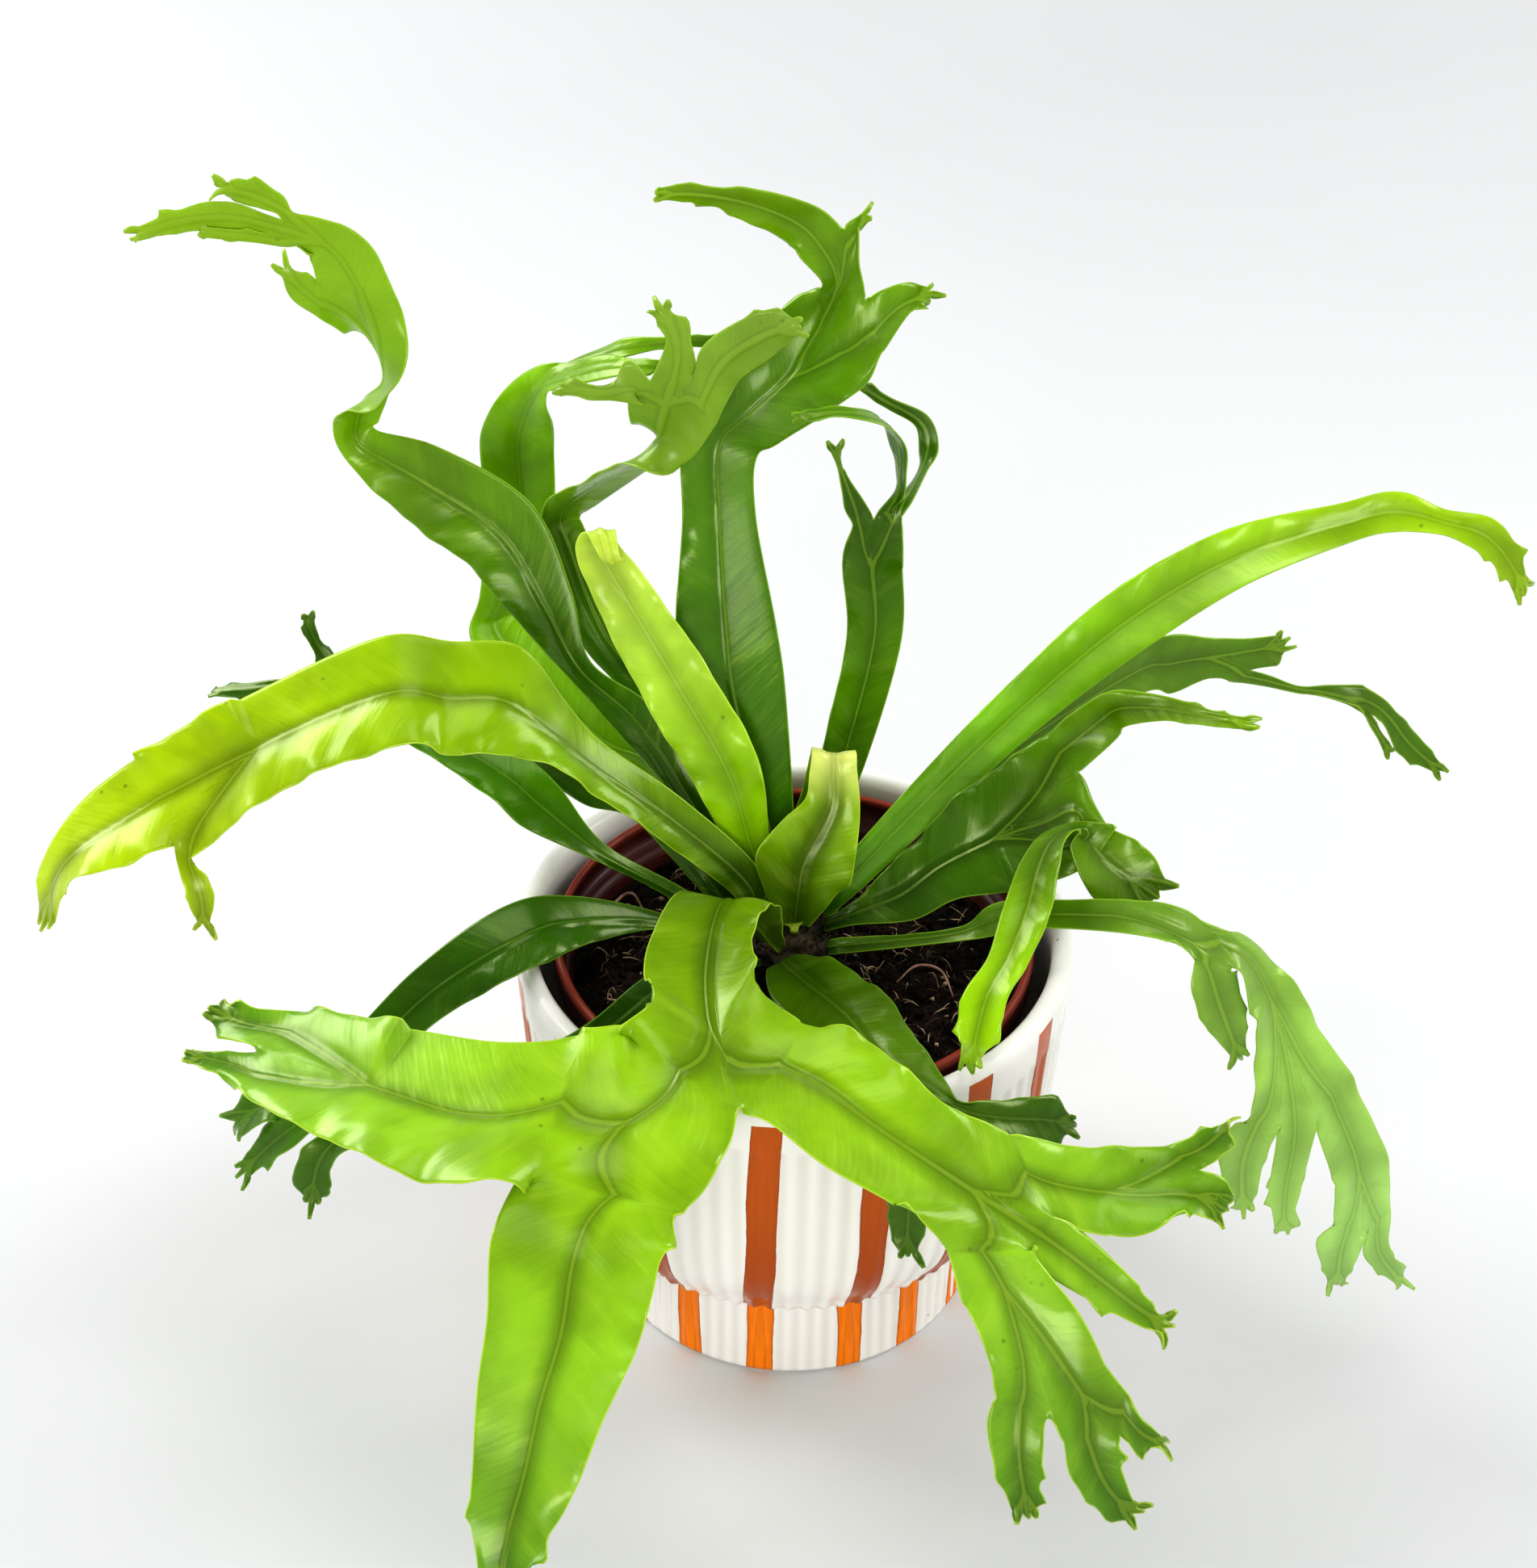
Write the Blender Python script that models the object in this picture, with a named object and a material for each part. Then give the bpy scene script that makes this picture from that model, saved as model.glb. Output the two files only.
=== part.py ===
"""A crested bird's-nest fern in its nursery pot, standing in a fluted ceramic planter.

Everything is in metres with +Z up. The planter stands on z = 0 and its axis is the Z axis.
The fronds are thin closed blades. Each is given by the stations that it passes through, and a
frond that forks goes on in further blades, which share its last cross-section.
"""

import math
from collections import Counter, namedtuple

import bpy
import numpy as np

MM = 0.001
CLEARANCE = 0.3 * MM

# The planter
PLANTER_HEIGHT = 109 * MM
PLANTER_RIM_RADIUS = 70 * MM
PLANTER_WALL = 5.5 * MM
PLANTER_FLOOR = 6 * MM
PLANTER_FLUTES = 80
PLINTH_RADIUS = 50.5 * MM
PLINTH_HEIGHT = 27 * MM
PLINTH_WALL = 5 * MM
BODY_FOOT_RADIUS = 58 * MM
BODY_FOOT_HEIGHT = 32 * MM

# The nursery pot
NURSERY_RIM_RADIUS = 60.4 * MM
NURSERY_RIM_HEIGHT = 106.7 * MM
NURSERY_BASE_RADIUS = 40 * MM
NURSERY_WALL = 1.2 * MM
NURSERY_COLLAR = 11 * MM
NURSERY_SIDES = 48
DRAIN_HOLES = 6
DRAIN_RADIUS = 4 * MM
DRAIN_CIRCLE = 25 * MM

# The potting mix and the crown that the fronds grow from
MIX_HEIGHT = 94.5 * MM
MIX_SIDES = 48
CROWN_X, CROWN_Y = -1 * MM, 9 * MM
CROWN_RADIUS = 11.2 * MM
CROWN_HEIGHT = 9.5 * MM
CROWN_SIDES = 16

# The fronds
BLADE_THICKNESS = 1.0 * MM
NARROWEST = 0.8  # of a frond's tip, in millimetres
STEPS_PER_SPAN = 2

Blade = namedtuple("Blade", "stations forks")


def blade(stations, forks=()):
    return Blade(stations, forks)


# A station is (x, y, z, width, bearing, tilt): the blade's middle and its width in millimetres,
# then the way that its upper face looks, as degrees from +X towards +Y and degrees upwards.
# Forks are listed from the blade's left edge to its right, seen from its upper face.
FRONDS = {
    "frond_spiral": blade([
        (-10, 13, 101, 4, -25, 20), (-27, 22, 131, 6, -95, 20), (-40, 32, 147, 11, -105, 25),
        (-55, 42, 156, 7, -100, 30), (-64, 50, 170, 16, -100, 25), (-75, 58, 186, 23, -100, 15),
        (-95, 65, 197, 21, -105, 10), (-110, 70, 204, 11, -95, 15), (-111, 70, 211, 12, -70, -5),
        (-108, 70, 217, 16, -45, -30), (-103, 68, 223, 18, -10, -20), (-103, 68, 231, 18, 40, 5),
        (-104, 67, 237, 17, 75, 15), (-108, 66, 245, 20, 90, 5),
    ], forks=[
        blade([
            (-111, 66, 257, 16, 90, 5), (-116, 65, 263, 10, 95, 10), (-122, 64, 265, 10, 95, 10),
        ], forks=[
            blade([
                (-124, 62, 273, 5, 105, 5), (-133, 60, 277, 6, 105, 10),
                (-136, 58, 278, 2, 115, 20),
            ]),
            blade([
                (-135, 60, 270, 8, 105, 15), (-146, 57, 270, 6, 105, 15),
                (-156, 54, 268, 1, 110, 10),
            ]),
            blade([
                (-129, 62, 264, 3, 105, 5), (-142, 58, 267, 1, 105, 5),
            ]),
        ]),
        blade([
            (-121, 66, 249, 7, 90, 0), (-125, 66, 254, 1, 90, 0),
        ]),
    ]),
    "frond_back_left": blade([
        (-7, 16, 101, 4, -50, 20), (-26, 33, 129, 6, -100, 30), (-36, 46, 144, 9, -95, 35),
        (-50, 57, 158, 13, -105, 20), (-59, 66, 179, 11, -100, 20), (-61, 68, 185, 11, -70, -10),
        (-56, 65, 193, 13, -85, -30), (-37, 56, 211, 15, -60, -45), (-35, 51, 216, 17, 55, 15),
        (-32, 47, 227, 22, 75, 15),
    ], forks=[
        blade([
            (-20, 45, 241, 12, 75, -5), (-13, 43, 248, 12, 80, 0), (-6, 43, 252, 10, 85, 0),
            (-1, 42, 253, 2, 85, 0),
        ]),
        blade([
            (-30, 47, 240, 9, 75, 0), (-30, 46, 248, 5, 90, 5), (-34, 46, 255, 1, 90, 0),
        ]),
        blade([
            (-40, 48, 234, 12, 85, 0), (-45, 48, 232, 5, 95, 0), (-50, 47, 232, 3, 100, 0),
            (-58, 46, 234, 1, 95, 0),
        ]),
    ]),
    "frond_far_left": blade([
        (-11, 17, 97, 4, -40, 20), (-35, 35, 129, 7, -95, 30), (-51, 44, 134, 12, -120, 35),
        (-78, 72, 145, 14, -115, 55), (-77, 80, 152, 14, -100, 35), (-73, 90, 172, 17, -90, 15),
        (-73, 91, 195, 19, -95, -5), (-66, 84, 214, 10, -150, 15), (-60, 80, 219, 8, -165, 45),
    ], forks=[
        blade([
            (-52, 82, 223, 4, -165, 55), (-44, 78, 228, 5, -135, 45), (-35, 75, 231, 3, -120, 30),
            (-21, 70, 235, 1, -105, -10),
        ]),
        blade([
            (-50, 73, 225, 7, -145, 45), (-41, 68, 228, 4, -145, 65), (-32, 66, 230, 1, -100, -5),
        ]),
    ]),
    "frond_tall": blade([
        (-2, 18, 101, 4, -85, 20), (-4, 20, 113, 9, -95, 10), (-15, 29, 153, 25, -90, 15),
        (-18, 35, 173, 25, -90, 20), (-20, 46, 199, 18, -90, 25), (-20, 53, 215, 19, -90, 20),
        (-12, 54, 224, 20, -100, 20), (5, 58, 239, 27, -110, 30), (11, 59, 246, 22, -110, 25),
    ], forks=[
        blade([
            (8, 60, 258, 11, -90, 5), (5, 61, 266, 16, -85, 10),
        ], forks=[
            blade([
                (-2, 60, 271, 12, -90, -15), (-12, 58, 276, 9, -85, -15),
                (-21, 56, 279, 5, -80, -15), (-29, 54, 281, 4, -75, -10),
                (-35, 52, 281, 1, -75, 5),
            ]),
            blade([
                (11, 64, 268, 3, -75, 20), (15, 65, 271, 1, -85, 10),
            ]),
        ]),
        blade([
            (22, 59, 251, 9, -90, 20), (26, 61, 252, 5, -65, 50), (30, 63, 251, 1, -65, 10),
        ]),
    ]),
    "frond_young_lime": blade([
        (-1, 14, 105, 4, -85, 20), (-10, 14, 119, 9, -90, 5), (-17, 19, 141, 17, -90, 15),
        (-29, 25, 162, 18, -90, 20), (-41, 31, 182, 15, -90, 15), (-49, 35, 196, 10, -90, 10),
        (-48, 34, 202, 9, -90, -30), (-47, 30, 205, 5, -125, -80), (-47, 28, 203, 3, 95, -40),
    ]),
    "frond_right_upright": blade([
        (3, 18, 101, 4, -110, 20), (5, 30, 107, 6, -90, 40), (12, 42, 129, 12, -85, 15),
        (19, 47, 163, 14, -90, 5), (18, 49, 185, 15, -90, 5), (19, 49, 195, 13, -90, 0),
    ], forks=[
        blade([
            (13, 50, 201, 5, -90, 5), (11, 50, 206, 3, -80, 10), (9, 51, 211, 1, -90, 10),
            (8, 52, 216, 1, -90, 10),
        ]),
        blade([
            (22, 50, 198, 6, -100, 25),
        ], forks=[
            blade([
                (24, 48, 205, 3, -140, -5), (24, 46, 213, 5, -155, -10),
                (23, 45, 221, 6, -145, -25), (19, 43, 228, 6, -165, -50),
                (10, 40, 232, 4, 145, -70), (3, 39, 232, 3, 85, -70), (-2, 38, 231, 1, 95, 0),
            ]),
            blade([
                (27, 52, 203, 5, -170, 40), (30, 54, 209, 5, -170, 20), (31, 56, 214, 5, -110, 15),
                (29, 58, 220, 4, -100, 5), (21, 59, 224, 3, -95, 5), (13, 60, 229, 1, -95, 0),
            ]),
        ]),
    ]),
    "frond_long_right": blade([
        (7, 15, 101, 4, -145, 20), (13, 14, 111, 8, -90, 25), (34, 28, 128, 11, -95, 40),
        (58, 41, 148, 14, -90, 30), (83, 50, 168, 17, -95, 25), (109, 55, 184, 15, -100, 25),
        (135, 54, 195, 10, -110, 35), (147, 53, 199, 10, -100, 40), (159, 51, 197, 7, -80, 65),
        (169, 49, 195, 9, -85, 35), (176, 47, 188, 6, -70, 25), (180, 46, 181, 3, -75, 15),
    ]),
    "frond_behind_right": blade([
        (8, 18, 97, 4, -135, 20), (19, 29, 108, 8, -80, 40), (58, 55, 125, 5, -75, 35),
        (89, 71, 138, 13, -70, 20), (99, 74, 139, 17, -75, 15), (110, 77, 139, 11, -75, 25),
        (119, 79, 137, 12, -80, 20),
    ], forks=[
        blade([
            (126, 80, 140, 8, -90, 20), (130, 81, 142, 5, -95, 25),
        ]),
        blade([
            (127, 78, 131, 3, -85, 20), (135, 77, 129, 2, -90, 40), (142, 77, 129, 3, -95, 45),
            (151, 75, 129, 6, -100, 35),
        ], forks=[
            blade([
                (159, 74, 123, 5, -65, 30), (166, 73, 114, 7, -75, 20), (175, 72, 107, 3, -80, 20),
            ]),
            blade([
                (156, 72, 120, 2, -70, 25), (161, 72, 112, 1, -90, 0),
            ]),
        ]),
    ]),
    "frond_broad_right": blade([
        (8, 9, 101, 4, -180, 20), (15, 6, 107, 6, -135, 50), (27, 8, 112, 15, -120, 50),
        (37, 10, 120, 20, -130, 45), (50, 11, 128, 29, -115, 45), (62, 12, 135, 33, -120, 40),
        (70, 14, 144, 30, -130, 35),
    ], forks=[
        blade([
            (75, 22, 157, 12, -95, 20), (79, 20, 162, 10, -115, 10), (90, 17, 164, 6, -110, 25),
            (101, 13, 164, 4, -110, 25), (109, 11, 164, 1, -105, 45),
        ]),
        blade([
            (71, 2, 136, 11, -70, 50), (78, -3, 130, 17, -95, 35), (84, -6, 128, 15, -100, 30),
            (89, -8, 125, 8, -90, 35),
        ]),
        blade([
            (64, 0, 138, 8, -160, 65), (59, -10, 136, 10, -135, 75), (55, -24, 132, 12, -120, 70),
            (50, -35, 126, 10, -125, 60), (45, -42, 121, 11, -120, 55),
            (43, -48, 115, 10, -115, 60), (41, -52, 114, 4, -90, 65), (41, -55, 112, 3, -90, 55),
        ]),
    ]),
    "frond_low_right": blade([
        (11, 5, 97, 4, 160, 20), (11, -3, 104, 4, -135, 35), (39, -8, 112, 4, -165, 65),
        (50, -11, 120, 8, -130, 40), (63, -15, 125, 7, -125, 45), (87, -24, 131, 9, -115, 50),
        (97, -28, 128, 10, -90, 50),
    ], forks=[
        blade([
            (109, -28, 122, 11, -25, 45), (115, -31, 111, 16, -50, 30),
            (120, -35, 98, 22, -60, 25), (123, -38, 88, 30, -65, 25),
        ], forks=[
            blade([
                (140, -40, 68, 15, -70, 20), (143, -43, 52, 15, -80, 15),
            ], forks=[
                blade([
                    (148, -44, 41, 7, -80, 10), (156, -45, 30, 2, -60, 25),
                ]),
                blade([
                    (138, -45, 45, 12, -85, 5), (139, -46, 30, 3, -95, 5),
                ]),
            ]),
            blade([
                (123, -43, 77, 10, -70, 15), (122, -45, 64, 8, -75, 5), (123, -46, 49, 2, -90, 5),
            ]),
            blade([
                (112, -45, 83, 12, -75, 20), (110, -47, 73, 11, -75, 5), (112, -48, 59, 3, -90, 5),
            ]),
        ]),
        blade([
            (100, -33, 119, 12, -70, 30), (104, -36, 109, 9, -70, 20), (108, -37, 99, 3, -70, 10),
        ]),
    ]),
    "frond_front": blade([
        (-4, 0, 101, 4, 70, 20), (-10, -6, 114, 15, 65, 35), (-17, -13, 126, 24, 75, 60),
        (-22, -32, 129, 25, 100, 85), (-22, -44, 129, 27, -80, 85), (-20, -52, 128, 25, -90, 80),
        (-19, -62, 127, 44, -70, 80),
    ], forks=[
        blade([
            (3, -73, 123, 31, -60, 75), (15, -81, 119, 32, -65, 75), (29, -88, 114, 28, -65, 60),
            (41, -92, 107, 31, -55, 50),
        ], forks=[
            blade([
                (61, -86, 103, 19, -65, 60), (76, -86, 101, 21, -95, 65),
                (87, -85, 104, 18, -120, 65),
            ], forks=[
                blade([
                    (95, -80, 111, 7, -135, 45), (99, -78, 117, 2, 180, 35),
                ]),
                blade([
                    (95, -88, 102, 11, -70, 55), (99, -89, 99, 8, -60, 40),
                ]),
            ]),
            blade([
                (61, -99, 95, 13, -70, 55), (71, -104, 90, 10, -80, 50),
                (80, -108, 84, 5, -75, 40), (85, -108, 81, 2, -30, 55),
            ]),
            blade([
                (47, -108, 93, 20, -80, 50), (54, -115, 85, 23, -85, 40),
                (57, -121, 78, 26, -80, 40),
            ], forks=[
                blade([
                    (68, -125, 70, 18, -85, 35),
                ], forks=[
                    blade([
                        (78, -127, 67, 6, -85, 30), (84, -127, 64, 2, -25, 70),
                    ]),
                    blade([
                        (68, -131, 61, 12, -85, 30), (73, -134, 53, 8, -90, 15),
                        (78, -135, 50, 1, -90, 20),
                    ]),
                ]),
                blade([
                    (50, -128, 70, 13, -85, 35), (51, -133, 61, 10, -80, 25),
                    (53, -137, 51, 5, -90, 20),
                ]),
            ]),
        ]),
        blade([
            (-26, -80, 122, 43, -100, 75), (-36, -85, 120, 53, -110, 70),
        ], forks=[
            blade([
                (-45, -106, 112, 36, -70, 65), (-48, -116, 108, 37, -75, 55),
                (-50, -129, 99, 33, -80, 50), (-54, -141, 90, 28, -85, 50),
                (-57, -151, 79, 23, -90, 45), (-60, -159, 71, 17, -90, 40),
                (-62, -166, 62, 7, -100, 45), (-62, -171, 58, 1, -90, 50),
            ]),
            blade([
                (-62, -86, 122, 44, -85, 80), (-76, -83, 120, 41, -130, 75),
                (-93, -75, 119, 36, -135, 75), (-107, -68, 118, 32, -135, 75),
                (-119, -61, 117, 28, -130, 80),
            ], forks=[
                blade([
                    (-128, -62, 114, 9, -140, 80), (-142, -58, 114, 2, -160, 85),
                ]),
                blade([
                    (-131, -50, 117, 9, -130, 60), (-137, -45, 117, 5, -125, 55),
                ]),
            ]),
        ]),
    ]),
    "frond_young_centre": blade([
        (0, 4, 105, 4, 100, 20), (0, 5, 104, 7, -85, 20), (1, 7, 114, 18, -90, 15),
        (2, 9, 120, 25, -90, 20), (6, 12, 128, 20, -90, 25), (9, 15, 135, 14, -90, 25),
        (9, 19, 142, 12, -85, 35), (9, 22, 145, 11, 80, 65), (8, 30, 136, 10, 85, 30),
        (4, 34, 124, 5, 85, 15), (0, 35, 116, 1, 90, 5),
    ]),
    "frond_broad_left": blade([
        (-10, 7, 101, 4, 10, 20), (-12, 9, 114, 9, -75, 10), (-30, 9, 133, 12, -55, 30),
        (-50, 9, 150, 15, -35, 45), (-60, 9, 160, 19, -40, 40), (-71, 9, 169, 28, -65, 40),
        (-84, 8, 170, 29, -80, 50), (-98, 7, 172, 30, -100, 55), (-127, 3, 160, 28, -115, 50),
        (-153, -4, 145, 30, -110, 45),
    ], forks=[
        blade([
            (-144, -18, 134, 6, -75, 45), (-143, -20, 128, 6, -85, 15),
            (-143, -21, 122, 2, -90, 15),
        ]),
        blade([
            (-166, -8, 141, 24, -110, 60), (-175, -12, 136, 17, -130, 50),
            (-180, -14, 129, 13, -140, 30), (-182, -17, 120, 7, -140, 20),
        ]),
    ]),
    "frond_under_left": blade([
        (-14, 8, 97, 4, 5, 20), (-29, 14, 106, 4, -95, 20), (-50, 19, 116, 5, -95, 30),
        (-65, 27, 124, 14, -85, 40), (-76, 32, 131, 15, -70, 60), (-103, 44, 141, 12, -90, 60),
        (-118, 51, 143, 11, -100, 65),
    ], forks=[
        blade([
            (-133, 53, 142, 4, -110, 45), (-143, 55, 139, 4, -120, 50),
            (-153, 57, 137, 1, -130, 60),
        ]),
        blade([
            (-123, 57, 150, 3, -50, 40), (-125, 58, 155, 3, -90, 20), (-126, 60, 160, 2, -95, 20),
        ]),
    ]),
    "frond_dark_left": blade([
        (-13, 13, 97, 4, -15, 20), (-23, 15, 112, 7, -110, 20), (-39, 30, 122, 8, -115, 30),
        (-52, 36, 123, 9, -115, 30), (-64, 44, 126, 9, -105, 45), (-77, 50, 130, 8, -100, 35),
        (-88, 55, 135, 5, -100, 30),
    ]),
    "frond_low_left": blade([
        (-12, 3, 97, 4, 30, 20), (-34, 2, 107, 5, -45, 55), (-54, -7, 114, 14, -40, 55),
        (-67, -16, 116, 19, -85, 65), (-88, -26, 107, 14, -95, 45), (-108, -37, 91, 12, -105, 45),
        (-120, -43, 84, 15, -110, 50),
    ], forks=[
        blade([
            (-126, -46, 76, 9, -125, 35), (-135, -47, 66, 3, -120, 35),
        ]),
        blade([
            (-130, -41, 82, 11, -135, 55), (-137, -42, 76, 8, -145, 45),
        ]),
    ]),
    "frond_front_left": blade([
        (-9, -1, 97, 4, 50, 20), (-26, -9, 100, 8, -10, 65), (-35, -25, 106, 9, 0, 55),
        (-46, -48, 113, 8, -25, 50), (-59, -58, 111, 9, -95, 55), (-76, -59, 102, 11, -130, 50),
        (-93, -58, 93, 11, -140, 50), (-107, -55, 86, 8, -135, 45), (-114, -57, 80, 8, -100, 20),
        (-116, -58, 72, 10, -105, 15), (-116, -59, 68, 3, -95, 15),
    ]),
    "frond_front_right": blade([
        (0, -4, 97, 4, 95, 20), (-3, -5, 100, 8, 140, 60), (3, -19, 105, 19, 145, 75),
        (13, -36, 109, 21, 155, 80), (21, -55, 111, 20, 170, 85), (30, -71, 111, 18, -135, 85),
    ], forks=[
        blade([
            (47, -67, 106, 8, -45, 55), (60, -62, 101, 11, -50, 45), (66, -60, 98, 2, -50, 40),
        ]),
        blade([
            (28, -76, 102, 10, -80, 20), (27, -80, 87, 9, -100, 15), (27, -83, 77, 2, -70, 15),
        ]),
    ]),
}

LEAF_COLOURS = {
    "frond_spiral": (0.10, 0.24, 0.01),
    "frond_back_left": (0.09, 0.22, 0.01),
    "frond_far_left": (0.07, 0.19, 0.01),
    "frond_tall": (0.07, 0.20, 0.01),
    "frond_young_lime": (0.36, 0.62, 0.02),
    "frond_right_upright": (0.09, 0.23, 0.01),
    "frond_long_right": (0.16, 0.36, 0.01),
    "frond_behind_right": (0.08, 0.20, 0.02),
    "frond_broad_right": (0.10, 0.26, 0.01),
    "frond_low_right": (0.12, 0.30, 0.01),
    "frond_front": (0.22, 0.46, 0.01),
    "frond_young_centre": (0.30, 0.54, 0.01),
    "frond_broad_left": (0.34, 0.60, 0.00),
    "frond_under_left": (0.08, 0.22, 0.01),
    "frond_dark_left": (0.03, 0.10, 0.01),
    "frond_low_left": (0.06, 0.18, 0.01),
    "frond_front_left": (0.05, 0.15, 0.01),
    "frond_front_right": (0.06, 0.16, 0.01),
}


def clear_scene():
    for ob in list(bpy.data.objects):
        bpy.data.objects.remove(ob)


def material(name, colour, roughness, coat=0.0):
    mat = bpy.data.materials.new(name)
    mat.use_nodes = True
    shader = mat.node_tree.nodes["Principled BSDF"]
    shader.inputs["Base Color"].default_value = (*colour, 1.0)
    shader.inputs["Roughness"].default_value = roughness
    shader.inputs["Coat Weight"].default_value = coat
    return mat


def add_object(name, verts, faces, mat):
    mesh = bpy.data.meshes.new(name)
    mesh.from_pydata([tuple(v) for v in verts], [], [tuple(f) for f in faces])
    mesh.materials.append(mat)
    mesh.update()
    ob = bpy.data.objects.new(name, mesh)
    bpy.context.scene.collection.objects.link(ob)
    return ob


def lathe(name, profile, sides, mat, centre=(0.0, 0.0)):
    """Turn a closed section about a vertical axis. The first and last rings are capped flat."""
    angles = [2 * math.pi * k / sides for k in range(sides)]
    verts = []
    for radius, z in profile:
        verts += [(centre[0] + radius * math.cos(a), centre[1] + radius * math.sin(a), z) for a in angles]
    faces = [tuple(reversed(range(sides)))]
    for ring in range(len(profile) - 1):
        low = ring * sides
        for k in range(sides):
            n = (k + 1) % sides
            faces.append((low + k, low + n, low + sides + n, low + sides + k))
    top = (len(profile) - 1) * sides
    faces.append(tuple(range(top, top + sides)))
    return add_object(name, verts, faces, mat)


def planter():
    """A fluted cup whose body overhangs a narrower plinth, hollow down to the plinth's floor."""
    inner = PLANTER_RIM_RADIUS - PLANTER_WALL
    plinth_inner = PLINTH_RADIUS - PLINTH_WALL
    profile = [
        (PLINTH_RADIUS - 1.5 * MM, 0),
        (PLINTH_RADIUS, 1.5 * MM),
        (PLINTH_RADIUS, PLINTH_HEIGHT),
        (BODY_FOOT_RADIUS - 2 * MM, BODY_FOOT_HEIGHT - 2 * MM),
        (BODY_FOOT_RADIUS, BODY_FOOT_HEIGHT),
        (BODY_FOOT_RADIUS + 4.5 * MM, BODY_FOOT_HEIGHT + 7 * MM),
        (PLANTER_RIM_RADIUS - 4.2 * MM, BODY_FOOT_HEIGHT + 15 * MM),
        (PLANTER_RIM_RADIUS - 2.8 * MM, BODY_FOOT_HEIGHT + 26 * MM),
        (PLANTER_RIM_RADIUS - 0.8 * MM, PLANTER_HEIGHT - 20 * MM),
        (PLANTER_RIM_RADIUS, PLANTER_HEIGHT - 7 * MM),
        (PLANTER_RIM_RADIUS, PLANTER_HEIGHT - 2.6 * MM),
        (PLANTER_RIM_RADIUS - 0.9 * MM, PLANTER_HEIGHT - 0.7 * MM),
        (PLANTER_RIM_RADIUS - 2.7 * MM, PLANTER_HEIGHT),
        (inner + 0.9 * MM, PLANTER_HEIGHT - 0.7 * MM),
        (inner, PLANTER_HEIGHT - 2.6 * MM),
        (inner - 0.8 * MM, PLANTER_HEIGHT - 30 * MM),
        (inner - 3.0 * MM, BODY_FOOT_HEIGHT + 21 * MM),
        (inner - 6.0 * MM, BODY_FOOT_HEIGHT + 11 * MM),
        (BODY_FOOT_RADIUS - 5 * MM, BODY_FOOT_HEIGHT + 4 * MM),
        (plinth_inner, PLINTH_HEIGHT + 6 * MM),
        (plinth_inner, PLANTER_FLOOR + 2 * MM),
        (plinth_inner - 2 * MM, PLANTER_FLOOR),
    ]
    mat = material("glazed_ceramic", (0.86, 0.84, 0.79), 0.12, coat=0.6)
    return lathe("planter", profile, PLANTER_FLUTES, mat)


def nursery_section():
    """Heights and radii that the nursery pot and the mix inside it share."""
    floor = PLANTER_FLOOR + CLEARANCE
    collar_low = NURSERY_RIM_HEIGHT - NURSERY_COLLAR
    neck = NURSERY_RIM_RADIUS - 2.9 * MM
    return floor, collar_low, neck


def nursery_pot():
    """A thin tapered pot with a collar under its rim and drain holes through its floor."""
    floor, collar_low, neck = nursery_section()
    wall = NURSERY_WALL
    rim = NURSERY_RIM_RADIUS
    top = NURSERY_RIM_HEIGHT
    profile = [
        (NURSERY_BASE_RADIUS - 1.5 * MM, floor),
        (NURSERY_BASE_RADIUS, floor + 1.5 * MM),
        (neck, collar_low),
        (rim - 0.5 * MM, collar_low + 1.0 * MM),
        (rim, top - 1.6 * MM),
        (rim - 0.5 * MM, top - 0.4 * MM),
        (rim - 1.2 * MM, top),
        (rim - 1.9 * MM, top - 0.4 * MM),
        (rim - 2.2 * MM, top - 2.5 * MM),
        (neck - wall, collar_low),
        (NURSERY_BASE_RADIUS - wall, floor + 2.4 * MM),
        (NURSERY_BASE_RADIUS - wall - 1.2 * MM, floor + wall),
    ]
    mat = material("nursery_plastic", (0.28, 0.05, 0.03), 0.4)
    pot = lathe("nursery_pot", profile, NURSERY_SIDES, mat)
    for k in range(DRAIN_HOLES):
        angle = 2 * math.pi * (k + 0.5) / DRAIN_HOLES
        bpy.ops.mesh.primitive_cylinder_add(
            vertices=12,
            radius=DRAIN_RADIUS,
            depth=6 * MM,
            location=(DRAIN_CIRCLE * math.cos(angle), DRAIN_CIRCLE * math.sin(angle), floor),
        )
        cutter = bpy.context.object
        cutter.name = f"drain_cutter_{k + 1}"
        cutter.hide_render = True
        cutter.display_type = "WIRE"
        cut = pot.modifiers.new(f"drain_{k + 1}", "BOOLEAN")
        cut.operation = "DIFFERENCE"
        cut.solver = "EXACT"
        cut.object = cutter
    return pot


def potting_mix():
    """The root ball, clear of the nursery pot all round, with a slightly raised middle."""
    floor, collar_low, neck = nursery_section()
    low = floor + NURSERY_WALL + CLEARANCE
    base = NURSERY_BASE_RADIUS - NURSERY_WALL - 2 * CLEARANCE
    edge = neck - NURSERY_WALL - 2 * CLEARANCE
    profile = [
        (base - 1.6 * MM, low),
        (base, low + 1.6 * MM),
        (edge - 0.8 * MM, collar_low - 4 * MM),
        (edge - 3 * MM, MIX_HEIGHT - 1 * MM),
        (edge - 16 * MM, MIX_HEIGHT),
    ]
    mat = material("potting_mix", (0.012, 0.008, 0.006), 0.9)
    return lathe("potting_mix", profile, MIX_SIDES, mat)


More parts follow.
